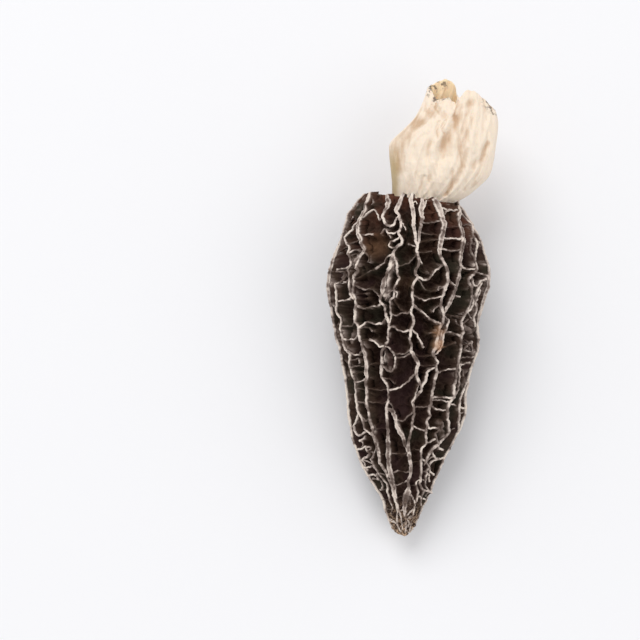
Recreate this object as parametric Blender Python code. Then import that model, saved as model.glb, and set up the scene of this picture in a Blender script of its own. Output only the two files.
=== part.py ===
"""A dried black morel, lying on its side: a pointed hollow cap with a raised net of ridges, and a crumpled,
flattened hollow stem whose neck sits in the cap's open base."""

import math
import random

import bmesh
import bpy
from mathutils import Matrix, Vector

MM = 0.001
SEED = 11

# Cap, in millimetres. "Along" runs down the cap's axis from its rim to its tip.
# Angles go round the axis in degrees: 0 faces the viewer, and plus is to the right.
CAP_LENGTH = 50.0
CAP_FLATTENING = 0.92
CAP_RADIUS = (
    (0.0, 6.9), (1.8, 7.4), (4.2, 9.1), (6.4, 10.3), (9.0, 11.0), (11.5, 11.8), (13.6, 12.0), (16.4, 11.1),
    (18.5, 10.4), (22.4, 10.5), (25.2, 9.5), (28.8, 8.8), (32.4, 8.6), (35.2, 7.8), (37.4, 6.9), (39.4, 5.8),
    (41.6, 4.7), (43.8, 3.9), (46.2, 2.9), (48.0, 1.9), (50.0, 0.8),
)
CAP_CENTRE = ((0.0, 0.6), (6.0, 0.1), (14.0, 0.1), (41.0, -0.4), (50.0, -0.3))
NET_END = 48.0
RIM_MIDDLE = 0.85
RIM_SLOPE = 0.9
RIM_SCALLOP = 0.5

# Net of ridges and pits
CREST_HALF_WIDTH = 0.32
CREST_ROUNDING = 0.05
PIT_DEPTH = 2.3
PIT_DEPTH_PER_WIDTH = 1.25
PIT_DEPTH_PER_RADIUS = 0.27
TIP_FILL = 0.35
PIT_FLOOR_SHARE = 0.40
PIT_EDGE_SHARE = 0.85
MOST_CREST_SHARE = 0.3
RIM_PIT_SHARE = 0.4
RIM_PIT_REACH = 12.0
RIB_DROP = 0.6
MOST_STEP = 2.7
LEAST_STEP = 0.8
RIB_GAP = (2.9, 4.3)
RIB_APART = 1.7
RIB_CLEAR = 1.6
RIB_SLANT = 0.5
RIB_SAG = (0.0, 0.7)
RIB_CROWDING = (0.45, 0.06)
RIM_STRIP = 3.0
SPAN_STEP = 0.25
LEAST_SPAN = 1.5
FLAT_WIDTH = 0.2
MOST_SIDE_SHARE = 0.985

# Long ridges of the side that faces the viewer: (along, side) points, side being the distance from the
# line that runs through the tip, and the ridges that each one starts and ends on, or None for rim and tip
FRONT_RIDGES = {
    "L2": (
        "L3", "L3",
        ((3.4, -7.4), (6.4, -9.1), (9.3, -8.7), (11.1, -8.7), (13.0, -9.0), (14.9, -8.7), (16.2, -7.7)),
    ),
    "L3": (
        None, None,
        ((0.0, -6.3), (1.9, -6.7), (3.4, -7.4), (5.2, -7.6), (8.5, -6.7), (11.1, -7.9), (13.4, -8.1),
         (16.2, -7.7), (18.2, -7.9), (20.3, -7.3), (23.2, -6.6), (26.1, -6.3), (30.2, -6.0), (34.3, -5.2),
         (37.0, -4.5), (39.8, -3.9), (41.8, -2.9), (43.9, -2.5), (45.9, -1.8), (48.0, -1.5)),
    ),
    "R2": (
        None, "R3",
        ((0.6, -3.6), (1.3, -3.1), (2.8, -3.7), (4.3, -3.5), (5.1, -1.4)),
    ),
    "R3": (
        None, "L3",
        ((0.6, -0.7), (2.5, -1.7), (4.4, -1.2), (6.9, -1.6), (8.3, -2.6), (9.9, -2.5), (12.2, -3.2),
         (14.7, -4.1), (16.8, -3.6), (19.1, -2.9), (21.1, -3.2), (22.9, -3.8), (26.1, -4.1), (28.7, -3.1),
         (31.3, -3.4), (34.6, -3.1), (38.3, -2.8), (41.8, -2.2), (44.4, -2.0), (46.2, -1.8)),
    ),
    "R3b": (
        "R3", "R4",
        ((31.3, -3.4), (32.4, -2.2), (34.3, -1.5), (36.0, -0.7), (36.9, 0.0)),
    ),
    "R4": (
        None, None,
        ((0.7, 0.4), (3.1, 0.6), (5.4, 0.6), (8.0, 1.2), (9.2, 1.5), (11.5, 0.9), (13.9, 0.3), (16.6, 0.6),
         (19.1, 0.4), (21.7, 0.3), (24.1, 1.0), (27.8, 1.3), (30.5, 0.7), (33.4, 0.4), (36.9, 0.0),
         (39.8, 0.3), (42.7, 0.0), (44.8, -0.3), (48.0, -0.5)),
    ),
    "R5": (
        None, "R4",
        ((0.9, 1.9), (3.4, 1.8), (6.0, 1.7), (8.0, 1.2)),
    ),
    "R6": (
        None, None,
        ((1.3, 4.1), (3.2, 4.5), (4.8, 5.2), (6.9, 4.7), (9.0, 4.4), (11.5, 5.5), (14.1, 5.1), (16.4, 4.7),
         (17.6, 5.0), (21.1, 4.2), (23.5, 3.8), (25.8, 4.1), (28.7, 3.5), (31.6, 3.2), (33.7, 2.8),
         (35.7, 2.6), (38.3, 2.2), (41.1, 1.9), (43.6, 1.6), (45.9, 1.0), (48.0, 0.6)),
    ),
    "R6b": (
        "R6", "R8",
        ((33.7, 2.8), (34.1, 4.0), (35.1, 4.1), (36.3, 4.5)),
    ),
    "R7": (
        None, "R6",
        ((2.0, 7.2), (4.4, 7.7), (7.3, 8.2), (10.5, 7.4), (13.0, 7.3), (15.3, 6.3), (17.6, 5.0)),
    ),
    "R8": (
        None, "R6",
        ((1.7, 8.1), (5.1, 9.6), (6.9, 10.1), (9.2, 9.8), (10.9, 9.9), (12.7, 8.9), (14.7, 9.5), (17.1, 8.6),
         (18.8, 7.9), (20.8, 8.2), (23.5, 7.6), (26.4, 7.0), (29.0, 6.9), (31.3, 6.0), (34.6, 6.0),
         (36.3, 4.5), (38.3, 2.2)),
    ),
    "R8b": (
        "R8", "R9",
        ((30.2, 6.4), (31.3, 7.5), (33.0, 7.7), (34.4, 7.9)),
    ),
    "L1": (
        "L0", "L3",
        ((11.0, -11.2), (13.1, -10.9), (16.2, -10.6), (18.8, -9.9), (21.1, -9.9), (23.8, -8.8), (26.4, -8.3),
         (29.0, -7.7), (31.5, -7.4), (34.4, -6.2), (35.9, -4.9)),
    ),
}

# Ridges at the two edges of that side: (along, angle) points
EDGE_RIDGES = {
    "L0": (
        (0.6, -101.0), (4.2, -93.0), (8.0, -88.0), (11.0, -83.0), (14.0, -82.0), (16.4, -84.0), (20.2, -87.0),
        (23.6, -84.0), (28.0, -86.0), (32.0, -84.0), (36.0, -82.0), (40.0, -84.0), (44.0, -80.0),
        (48.0, -82.0),
    ),
    "R9": (
        (1.6, 100.0), (4.2, 93.0), (8.0, 85.0), (11.0, 84.0), (14.0, 82.0), (16.6, 84.0), (19.2, 79.0),
        (22.4, 84.0), (25.6, 82.0), (28.8, 80.0), (32.2, 84.0), (34.4, 80.0), (38.0, 83.0), (42.0, 79.0),
        (48.0, 80.0),
    ),
}

# Ridges of the hidden side: (angle at the rim and belly, angle at the tip, ridge met on the way, where)
BACK_RIDGES = {
    "B1": (105.0, 112.0, None, NET_END),
    "B2": (126.0, 116.0, "B1", 36.2),
    "B3": (148.0, 156.0, "B4", 38.4),
    "B4": (169.0, 158.0, None, NET_END),
    "B5": (191.0, 202.0, None, NET_END),
    "B6": (213.0, 205.0, "B5", 37.0),
    "B7": (235.0, 243.0, "B8", 34.8),
    "B8": (255.0, 247.0, None, NET_END),
}
BACK_SPREAD_FROM = 30.0
BACK_STEP = 2.9
BACK_WANDER = 2.6
SEAM_RIDGE = "B4"

# Cross ribs read from the same side: (ridge, along, ridge, along, sag of the middle)
FRONT_RIBS = (
    ("L1", 15.8, "L2", 14.8, 0.1), ("L1", 19.4, "L3", 19.0, 0.1), ("L1", 21.4, "L3", 20.6, 0.0),
    ("L1", 23.6, "L3", 22.8, 0.3), ("L3", 2.6, "R2", 3.2, -0.6), ("L3", 6.4, "R3", 6.6, 0.0),
    ("L3", 12.0, "R3", 9.4, 0.3), ("L3", 13.8, "R3", 15.0, -0.2), ("L3", 16.8, "R3", 16.2, 0.1),
    ("L3", 19.2, "R3", 18.4, 0.0), ("L3", 20.4, "R3", 22.4, 0.2), ("L3", 28.6, "R3", 28.6, 0.0),
    ("L3", 30.4, "R3", 30.4, 0.3), ("L3", 34.2, "R3", 34.4, 0.1), ("R3", 10.8, "R4", 9.6, 0.7),
    ("R3", 17.4, "R4", 17.4, 0.2), ("R3", 19.6, "R4", 20.0, 0.1), ("R3", 22.7, "R4", 23.4, 0.9),
    ("R3", 28.7, "R4", 26.8, 0.4), ("R3b", 32.9, "R4", 32.0, 0.6), ("R3", 37.8, "R4", 37.8, 0.0),
    ("R3", 40.6, "R4", 40.4, 0.0), ("R3", 42.4, "R4", 41.6, 0.1), ("R4", 12.4, "R6", 11.4, 0.8),
    ("R4", 14.6, "R6", 14.2, 1.1), ("R4", 16.5, "R6", 19.2, 0.0), ("R4", 19.8, "R6", 23.4, 0.2),
    ("R4", 28.2, "R6", 25.6, 0.0), ("R4", 30.9, "R6", 30.9, 0.1), ("R4", 33.5, "R6", 34.4, 0.0),
    ("R4", 37.2, "R6", 37.2, 0.0), ("R4", 39.0, "R6", 38.9, 0.0), ("R4", 3.1, "R5", 3.1, 0.1),
    ("R4", 5.6, "R5", 5.6, 0.1), ("R5", 2.9, "R6", 2.9, 0.0), ("R5", 5.0, "R6", 5.0, 0.0),
    ("R5", 7.0, "R6", 7.0, 0.0), ("R4", 9.0, "R6", 8.8, 0.1), ("R6", 3.8, "R7", 3.8, 0.1),
    ("R6", 6.7, "R7", 6.7, 0.1), ("R6", 8.5, "R7", 8.5, 0.1), ("R6", 11.4, "R7", 11.2, 0.2),
    ("R7", 10.8, "R8", 11.2, 0.4), ("R7", 14.6, "R8", 15.4, 0.0), ("R6", 17.7, "R8", 17.8, 0.0),
    ("R6", 20.3, "R8", 20.8, -0.3), ("R6", 26.0, "R8", 25.7, 0.0), ("R6", 29.7, "R8", 29.7, 0.0),
    ("R6", 30.9, "R8", 31.4, 0.3), ("R8", 13.4, "R9", 13.0, 0.3), ("R8", 22.4, "R9", 22.4, 0.0),
    ("R8", 34.7, "R9", 34.2, 0.0), ("R8", 36.6, "R9", 37.2, 0.0), ("L2", 9.3, "L3", 9.0, 0.2),
    ("L1", 12.8, "L2", 12.0, 0.1), ("L0", 9.9, "L2", 9.8, 0.1),
)

# Base opening and hollow of the cap: (along, half width, half depth)
HOLLOW_SIDES = 20
OPENING_CENTRE = 1.75
OPENING = ((2.1, 4.6, 3.6), (3.8, 4.6, 3.6))
HOLLOW_CENTRE = 0.2
HOLLOW = (
    (6.0, 6.1, 5.6), (10.0, 7.4, 6.8), (15.0, 8.0, 7.3), (20.0, 6.8, 6.1), (26.0, 5.7, 5.0), (32.0, 4.9, 4.4),
    (36.5, 3.3, 3.0), (40.0, 1.2, 1.1),
)
HOLLOW_END = 41.2

# Stem, in the same millimetres: edges and torn mouth as (along, side), thickness along its length
STEM_SIDES = 40
STEM_ROWS = 22
STEM_LEFT = (
    (3.2, -2.5), (1.0, -2.3), (-1.4, -2.3), (-3.6, -2.4), (-5.7, -2.6), (-7.5, -2.4), (-9.2, -1.2),
    (-11.0, 0.6), (-13.3, 2.3), (-15.6, 3.2),
)
STEM_RIGHT = (
    (3.2, 5.6), (1.9, 5.9), (0.6, 7.8), (-1.0, 10.2), (-2.7, 11.8), (-4.7, 12.5), (-6.6, 12.9), (-8.6, 13.3),
    (-10.4, 13.4), (-12.0, 13.0),
)
STEM_MOUTH = (
    (-15.6, 3.2), (-16.6, 4.8), (-16.6, 6.5), (-15.5, 7.3), (-14.5, 7.9), (-15.2, 8.7), (-14.7, 9.8),
    (-13.4, 11.5), (-12.0, 13.0),
)
STEM_HALF_DEPTH = ((0.0, 2.9), (0.15, 3.0), (0.35, 3.6), (0.6, 3.4), (0.85, 2.3), (1.0, 1.6))
STEM_BEND = ((0.0, 0.0), (0.3, 0.2), (0.65, 0.6), (1.0, -0.4))
STEM_WALL = 0.8
FOLD_COUNT = 9
FOLD_HEIGHT = 0.34
FOLD_HEIGHT_INSIDE = 0.55
FOLDS_GROW = 2.5
FOLD_SWAY = 2.5
FOLD_TWIST = 3.0

# How the morel lies: its belly and a lower place touch the ground, flattened this deep into the crests
BELLY_STATION = 13.6
LOW_STATION = 32.6
REST_FLAT = 0.8

SHARP_ANGLE = 50.0
DARK_FLESH = (0.045, 0.026, 0.019)
PALE_FLESH = (0.78, 0.62, 0.44)


def clear_scene():
    for thing in list(bpy.data.objects):
        bpy.data.objects.remove(thing, do_unlink=True)


def principled(name, colour, roughness):
    material = bpy.data.materials.new(name)
    material.use_nodes = True
    shader = material.node_tree.nodes["Principled BSDF"]
    shader.inputs["Base Color"].default_value = (*colour, 1.0)
    shader.inputs["Roughness"].default_value = roughness
    shader.inputs["Metallic"].default_value = 0.0
    material.diffuse_color = (*colour, 1.0)
    return material


def read(table, at):
    """Value of a table of (at, value) points, straight between them and level past its ends."""
    if at <= table[0][0]:
        return table[0][1]
    for (low, first), (high, second) in zip(table, table[1:]):
        if at <= high:
            return first + (second - first) * (at - low) / (high - low)
    return table[-1][1]


def even_point(points, share):
    """Point at a share of the way through a list of points, each stretch taking the same share."""
    place = share * (len(points) - 1)
    index = min(int(place), len(points) - 2)
    return Vector(points[index]).lerp(Vector(points[index + 1]), place - index)


# Cap's surface

def rim_at(degrees):
    return RIM_MIDDLE + RIM_SLOPE * math.sin(math.radians(degrees))


def angle_of(along, side):
    """Angle round the cap, in degrees, of a point seen at this distance to the side of the tip's line."""
    share = (side - read(CAP_CENTRE, along)) / read(CAP_RADIUS, along)
    return math.degrees(math.asin(max(-MOST_SIDE_SHARE, min(MOST_SIDE_SHARE, share))))


def cap_point(along, degrees, radius):
    """Point of the cap, in millimetres: x to the right, y towards the stem, z towards the viewer."""
    angle = math.radians(degrees)
    across = read(CAP_CENTRE, along) + radius * math.sin(angle)
    return Vector((across, -along, radius * CAP_FLATTENING * math.cos(angle)))


class Ridge:
    """A long ridge: its (along, angle) points, and the ridges that it starts and ends on."""

    def __init__(self, points, starts_on=None, ends_on=None):
        self.points = sorted(points)
        self.starts_on = starts_on
        self.ends_on = ends_on
        self.stations = [self.points[0][0], self.points[-1][0]]

    def angle(self, along):
        return read(self.points, along)

    def covers(self, along):
        return self.points[0][0] < along < self.points[-1][0]

    def station(self, along):
        """A station of the ridge at this place, or the one that is already close to it."""
        nearest = min(self.stations, key=lambda value: abs(value - along))
        if abs(nearest - along) < LEAST_STEP:
            return nearest
        self.stations.append(along)
        return along

    def fill_stations(self):
        self.stations.sort()
        filled = []
        for low, high in zip(self.stations, self.stations[1:]):
            parts = max(1, math.ceil((high - low) / MOST_STEP))
            filled += [low + (high - low) * part / parts for part in range(parts)]
        self.stations = filled + [self.stations[-1]]


def front_ridges():
    ridges = {}
    for name, (starts_on, ends_on, points) in FRONT_RIDGES.items():
        turned = [(along, angle_of(along, side)) for along, side in points]
        ridges[name] = Ridge(turned, starts_on, ends_on)
    for name, points in EDGE_RIDGES.items():
        ridges[name] = Ridge(points)
    return ridges


def back_ridges(draw):
    ridges = {}
    for name, (belly, tip, ends_on, end) in BACK_RIDGES.items():
        start = rim_at(belly)
        count = round((end - start) / BACK_STEP)
        points = []
        for index in range(count + 1):
            along = start + (end - start) * index / count
            spread = max(0.0, (along - BACK_SPREAD_FROM) / (NET_END - BACK_SPREAD_FROM))
            wander = BACK_WANDER * draw.uniform(-1.0, 1.0) if 0 < index < count else 0.0
            turned = belly + (tip - belly) * spread + wander
            points.append((along, turned if name == SEAM_RIDGE or belly < 180.0 else turned - 360.0))
        ridges[name] = Ridge(points, None, ends_on)
    return ridges


def join_ends(ridges):
    """Brings the ends that lie on another ridge onto it, and gives that ridge a station there."""
    for ridge in ridges.values():
        for other, end in ((ridge.starts_on, 0), (ridge.ends_on, -1)):
            if other:
                along = ridge.points[end][0]
                ridges[other].stations.append(along)
                ridge.points[end] = (along, ridges[other].angle(along))
        if not ridge.starts_on:
            along, degrees = ridge.points[0]
            ridge.points[0] = (rim_at(degrees), degrees)
            ridge.stations[0] = ridge.points[0][0]


def neighbours(ridges, along):
    """Pairs of ridges that lie side by side at this place, the seam's far copy first."""
    live = sorted((ridge.angle(along), name) for name, ridge in ridges.items() if ridge.covers(along))
    names = [SEAM_RIDGE] + [name for _, name in live]
    return list(zip(names, names[1:]))


def rib_crowding(along):
    """Share of the usual gap between ribs at this place: they lie closer where the cap is narrow."""
    least, by_radius = RIB_CROWDING
    return min(1.0, least + by_radius * read(CAP_RADIUS, along))


def rule_ribs(ridges, known, draw):
    """Ribs wherever two neighbouring ridges run further than a gap without one."""
    spans = {}
    for index in range(int(NET_END / SPAN_STEP)):
        along = index * SPAN_STEP
        for pair in neighbours(ridges, along):
            spans.setdefault(pair, []).append(along)
    ribs = []
    for (left, right), places in spans.items():
        start = places[0]
        end = places[-1]
        if end - start < LEAST_SPAN:
            continue
        taken = [(rib[1], rib[3]) for rib in known if (rib[0], rib[2]) == (left, right)]
        gap = draw.uniform(*RIB_GAP)
        last = start if start < RIM_STRIP else start - gap / 2
        for along in places:
            near = [pair for pair in taken if min(pair) - RIB_APART < along < max(pair) + RIB_APART]
            if near:
                last = max(max(pair) for pair in near)
                continue
            clear = min(along - start, end - along) > RIB_CLEAR
            if clear and along - last > gap * rib_crowding(along):
                slant = draw.uniform(-RIB_SLANT, RIB_SLANT)
                ribs.append((left, along - slant, right, along + slant, draw.uniform(*RIB_SAG)))
                last = along
                gap = draw.uniform(*RIB_GAP)
    return ribs


# Net, drawn flat and then wrapped round the cap

class Net:
    """Points and lines of the net on the unrolled cap, in a bmesh of its own."""

    def __init__(self):
        self.bm = bmesh.new()
        self.drop = self.bm.verts.layers.float.new("drop")
        self.points = {}

    def flat(self, along, degrees):
        return Vector((degrees, -along, 0.0))

    def point(self, key, along, degrees, drop=0.0):
        if key not in self.points:
            vert = self.bm.verts.new(self.flat(along, degrees))
            vert[self.drop] = drop
            self.points[key] = vert
        return self.points[key]

    def line(self, first, second):
        if first is not second and not self.bm.edges.get((first, second)):
            self.bm.edges.new((first, second))


def on_ridge(net, ridges, name, along, turn=0.0):
    """The net's point on a ridge, which at the ridge's joined ends is a point of the other ridge."""
    ridge = ridges[name]
    for other, end in ((ridge.starts_on, 0), (ridge.ends_on, -1)):
        if other and abs(along - ridge.points[end][0]) < 1e-6:
            return on_ridge(net, ridges, other, along, turn)
    return net.point((name, round(along, 4), turn), along, ridge.angle(along) + turn)


def draw_net(ridges, ribs):
    net = Net()
    placed = []
    for left, low, right, high, sag in ribs:
        placed.append((left, ridges[left].station(low), right, ridges[right].station(high), sag))
    for ridge in ridges.values():
        ridge.fill_stations()
    for name, ridge in ridges.items():
        for turn in (0.0, -360.0) if name == SEAM_RIDGE else (0.0,):
            chain = [on_ridge(net, ridges, name, along, turn) for along in ridge.stations]
            for first, second in zip(chain, chain[1:]):
                net.line(first, second)
    for left, low, right, high, sag in placed:
        turn = -360.0 if left == SEAM_RIDGE else 0.0
        first = on_ridge(net, ridges, left, low, turn)
        second = on_ridge(net, ridges, right, high)
        middle = (first.co + second.co) / 2
        between = net.point(("rib", left, low, right), -middle.y + sag, middle.x, RIB_DROP)
        net.line(first, between)
        net.line(between, second)
    return net


def draw_border(net, ridges, place, scallop):
    """The net's border at the rim or the tip: through the ridges' ends there, set back between two."""
    ends = []
    for name, ridge in ridges.items():
        joined = ridge.starts_on if place == 0 else ridge.ends_on
        if not joined:
            ends.append((ridge.angle(ridge.stations[place]), name, 0.0))
    ends.append((ridges[SEAM_RIDGE].angle(ridges[SEAM_RIDGE].stations[place]) - 360.0, SEAM_RIDGE, -360.0))
    ends.sort()
    verts = [on_ridge(net, ridges, name, ridges[name].stations[place], turn) for _, name, turn in ends]
    for index, (first, second) in enumerate(zip(verts, verts[1:])):
        middle = (first.co + second.co) / 2
        between = net.point(("edge", place, index), -middle.y + scallop, middle.x, scallop)
        net.line(first, between)
        net.line(between, second)


def make_cells(net):
    """Makes a face of each cell of the flat net: a walk that takes the next line clockwise rounds one."""
    def heading(vert, other):
        across = other.co - vert.co
        return math.atan2(across.y, across.x * FLAT_WIDTH)

    following = {}
    for vert in net.bm.verts:
        others = [edge.other_vert(vert) for edge in vert.link_edges]
        others.sort(key=lambda other: heading(vert, other))
        for index, other in enumerate(others):
            following[(other, vert)] = (vert, others[index - 1])
    walks = []
    while following:
        step, after = following.popitem()
        walk = [step[0]]
        while after in following:
            walk.append(after[0])
            after = following.pop(after)
        walks.append(walk)
    for walk in walks:
        turned = sum(a.co.x * b.co.y - b.co.x * a.co.y for a, b in zip(walk, walk[1:] + walk[:1]))
        if turned > 0.0:
            net.bm.faces.new(walk)


def wrap(net):
    for vert in net.bm.verts:
        along = -vert.co.y
        degrees = vert.co.x
        radius = read(CAP_RADIUS, along) - vert[net.drop]
        vert.co = cap_point(along, degrees, radius)


def inwards(point):
    """Direction from a point of the cap straight to its axis."""
    return -Vector((point.x - read(CAP_CENTRE, -point.y), 0.0, point.z)).normalized()


def press_pit(bm, cell):
    """Sinks one cell of the net into a pit with a crest strip round it, steep walls and a dished floor."""
    area = cell.calc_area()
    width = 2.0 * area / cell.calc_perimeter()
    centre = cell.calc_center_median_weighted()
    radius = read(CAP_RADIUS, -centre.y)
    deepest = PIT_DEPTH * min(1.0, RIM_PIT_SHARE - centre.y / RIM_PIT_REACH)
    depth = min(deepest, width * PIT_DEPTH_PER_WIDTH, radius * PIT_DEPTH_PER_RADIUS - TIP_FILL)
    crest = [vert.co.copy() for vert in cell.verts]
    crest_share = min(MOST_CREST_SHARE, CREST_HALF_WIDTH / width)
    floor_share = crest_share + PIT_FLOOR_SHARE
    for share, sink in ((crest_share, CREST_ROUNDING), (floor_share, PIT_EDGE_SHARE * depth)):
        bmesh.ops.inset_individual(bm, faces=[cell], thickness=0.0, use_even_offset=False)
        for vert, start in zip(cell.verts, crest):
            vert.co = start.lerp(centre, share) + inwards(start) * sink
    floor = bmesh.ops.poke(bm, faces=[cell], offset=0.0)["verts"][0]
    floor.co = centre + inwards(centre) * depth


def ring(bm, along, centre, half_width, half_depth, sides):
    made = bmesh.ops.create_circle(bm, cap_ends=False, segments=sides, radius=1.0)["verts"]
    for vert in made:
        vert.co = Vector((centre + vert.co.x * half_width, -along, vert.co.y * half_depth))
    return list(dict.fromkeys(edge for vert in made for edge in vert.link_edges))


def close_base(bm, rim_edges):
    """Joins the rim to the opening and lines the hollow behind it."""
    last = rim_edges
    for along, half_width, half_depth in OPENING:
        following = ring(bm, along, OPENING_CENTRE, half_width, half_depth, HOLLOW_SIDES)
        bmesh.ops.bridge_loops(bm, edges=last + following)
        last = following
    for along, half_width, half_depth in HOLLOW:
        following = ring(bm, along, HOLLOW_CENTRE, half_width, half_depth, HOLLOW_SIDES)
        bmesh.ops.bridge_loops(bm, edges=last + following)
        last = following
    close_to_point(bm, last, Vector((0.0, -HOLLOW_END, 0.0)))


def close_to_point(bm, loop, point):
    peak = bm.verts.new(point)
    for edge in loop:
        bm.faces.new((*edge.verts, peak))


def open_edges(bm):
    """The open borders of the pressed net, at the rim and at the tip."""
    border = [edge for edge in bm.edges if edge.is_boundary]
    rim = [edge for edge in border if -edge.verts[0].co.y < NET_END / 2]
    return rim, [edge for edge in border if edge not in rim]


def build_cap(material, frame):
    draw = random.Random(SEED)
    ridges = {**front_ridges(), **back_ridges(draw)}
    join_ends(ridges)
    ribs = list(FRONT_RIBS) + rule_ribs(ridges, FRONT_RIBS, draw)
    net = draw_net(ridges, ribs)
    draw_border(net, ridges, 0, RIM_SCALLOP)
    draw_border(net, ridges, -1, 0.0)
    make_cells(net)
    wrap(net)
    bm = net.bm
    seam = [on_ridge(net, ridges, SEAM_RIDGE, along) for along in ridges[SEAM_RIDGE].stations]
    copies = [on_ridge(net, ridges, SEAM_RIDGE, along, -360.0) for along in ridges[SEAM_RIDGE].stations]
    bmesh.ops.weld_verts(bm, targetmap=dict(zip(copies, seam)))
    for cell in list(bm.faces):
        press_pit(bm, cell)
    rim_edges, tip_edges = open_edges(bm)
    close_to_point(bm, tip_edges, Vector((read(CAP_CENTRE, CAP_LENGTH), -CAP_LENGTH, 0.0)))
    close_base(bm, rim_edges)
    bmesh.ops.triangulate(bm, faces=bm.faces)
    bmesh.ops.recalc_face_normals(bm, faces=bm.faces)
    return finish("cap", bm, material, frame)


# Stem

def stem_sheet_point(share, across):
    """Point (along, side) of the flattened stem, a share of the way up it and of the way across it."""
    left = even_point(STEM_LEFT, share)
    right = even_point(STEM_RIGHT, share)
    straight = left.lerp(right, across)
    torn = even_point(STEM_MOUTH, across) - Vector(STEM_MOUTH[0]).lerp(Vector(STEM_MOUTH[-1]), across)
    return straight + torn * share ** 3


def stem_point(share, turn, wall):
    """Point of the stem's outer face, or of its inner one where a wall is given."""
    left = even_point(STEM_LEFT, share)
    right = even_point(STEM_RIGHT, share)
    half_width = (right - left).length / 2
    half_depth = read(STEM_HALF_DEPTH, share)
    inside = 1.0 - wall / half_width
    across = 0.5 - 0.5 * math.cos(turn) * inside
    along, side = stem_sheet_point(share, across)
    swayed = turn * FOLD_COUNT + FOLD_SWAY * math.sin(FOLD_TWIST * share + turn)
    folds = FOLD_HEIGHT * min(1.0, share * FOLDS_GROW) * math.sin(swayed)
    if wall:
        folds *= FOLD_HEIGHT_INSIDE
    depth = (half_depth - wall + folds) * math.sin(turn)
    return Vector((side, -along, read(STEM_BEND, share) + depth))


def build_stem(material, frame):
    bm = bmesh.new()
    rings = []
    for row in range(STEM_ROWS + 1):
        rings.append((row / STEM_ROWS, 0.0))
    for row in range(STEM_ROWS, -1, -2):
        rings.append((row / STEM_ROWS, STEM_WALL))
    first = last = None
    for share, wall in rings:
        made = bmesh.ops.create_circle(bm, cap_ends=False, segments=STEM_SIDES, radius=1.0)["verts"]
        for index, vert in enumerate(made):
            vert.co = stem_point(share, 2 * math.pi * index / STEM_SIDES, wall)
        for quad in zip(last or (), made, made[1:] + made[:1], (last or [])[1:] + (last or [])[:1]):
            bm.faces.new(quad)
        first = first or made
        last = made
    for quad in zip(last, first, first[1:] + first[:1], last[1:] + last[:1]):
        bm.faces.new(quad)
    bmesh.ops.triangulate(bm, faces=bm.faces)
    bmesh.ops.recalc_face_normals(bm, faces=bm.faces)
    return finish("stem", bm, material, frame)


# Lying pose

def lying_frame():
    """Place of the cap's rim centre and the turn that puts its belly and its lower half on the ground."""
    belly = read(CAP_RADIUS, BELLY_STATION) * CAP_FLATTENING
    low = read(CAP_RADIUS, LOW_STATION) * CAP_FLATTENING
    lean = math.atan2(belly - low, LOW_STATION - BELLY_STATION)
    height = BELLY_STATION * math.sin(lean) + belly * math.cos(lean) - REST_FLAT
    return Matrix.Translation((0.0, 0.0, height)) @ Matrix.Rotation(lean, 4, "X")


def press_flat(bm, frame):
    """Flattens onto the ground the crests that would stand below it."""
    back = frame.inverted()
    for vert in bm.verts:
        place = frame @ vert.co
        if place.z < 0.0:
            place.z = 0.0
            vert.co = back @ place


def finish(name, bm, material, frame):
    press_flat(bm, frame)
    bmesh.ops.scale(bm, vec=Vector((MM, MM, MM)), verts=bm.verts)
    mesh = bpy.data.meshes.new(name)
    bm.to_mesh(mesh)
    bm.free()
    mesh.shade_smooth()
    mesh.set_sharp_from_angle(angle=math.radians(SHARP_ANGLE))
    mesh.materials.append(material)
    thing = bpy.data.objects.new(name, mesh)
    bpy.context.collection.objects.link(thing)
    return thing


def centre_over_origin(base, things):
    """Puts the world's origin under the middle of the whole morel's bounding box."""
    bpy.context.view_layer.update()
    points = [thing.matrix_world @ vert.co for thing in things for vert in thing.data.vertices]
    for axis in (0, 1):
        values = [point[axis] for point in points]
        base.location[axis] -= (min(values) + max(values)) / 2


def main():
    clear_scene()
    frame = lying_frame()
    base = bpy.data.objects.new("morel", None)
    bpy.context.collection.objects.link(base)
    base.location = frame.translation * MM
    base.rotation_euler = frame.to_euler()
    cap = build_cap(principled("dark_flesh", DARK_FLESH, 0.75), frame)
    stem = build_stem(principled("pale_flesh", PALE_FLESH, 0.7), frame)
    cap.parent = base
    stem.parent = base
    centre_over_origin(base, (cap, stem))


main()
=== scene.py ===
"""Looks of a dried black morel lying on its side: its dark cap with a pale, wavy net of ridges, and its
cream, crumpled stem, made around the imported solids."""

import math
import random

import bmesh
import bpy
from mathutils import Matrix, Vector, kdtree, noise


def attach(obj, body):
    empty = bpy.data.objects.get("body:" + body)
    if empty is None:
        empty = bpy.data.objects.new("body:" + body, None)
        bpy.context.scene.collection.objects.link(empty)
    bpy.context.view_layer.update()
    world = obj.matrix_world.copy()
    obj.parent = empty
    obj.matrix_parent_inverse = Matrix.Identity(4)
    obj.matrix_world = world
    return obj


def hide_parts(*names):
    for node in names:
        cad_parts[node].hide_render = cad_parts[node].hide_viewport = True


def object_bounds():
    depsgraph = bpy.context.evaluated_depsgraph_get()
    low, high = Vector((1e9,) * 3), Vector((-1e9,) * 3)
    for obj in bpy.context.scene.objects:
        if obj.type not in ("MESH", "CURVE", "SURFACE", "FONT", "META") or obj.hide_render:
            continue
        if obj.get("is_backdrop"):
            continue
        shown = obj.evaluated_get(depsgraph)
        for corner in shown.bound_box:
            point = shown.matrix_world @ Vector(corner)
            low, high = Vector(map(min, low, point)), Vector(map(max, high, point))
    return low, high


bl_info = {
    "name": "Dried Black Morel",
    "version": (1, 0, 0),
    "blender": (4, 5, 0),
    "location": "3D View > Sidebar > Morel",
    "description": "Builds a dried black morel: the cap's flesh, its net of ridges and ribs, and the stem",
    "category": "Object",
}

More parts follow.
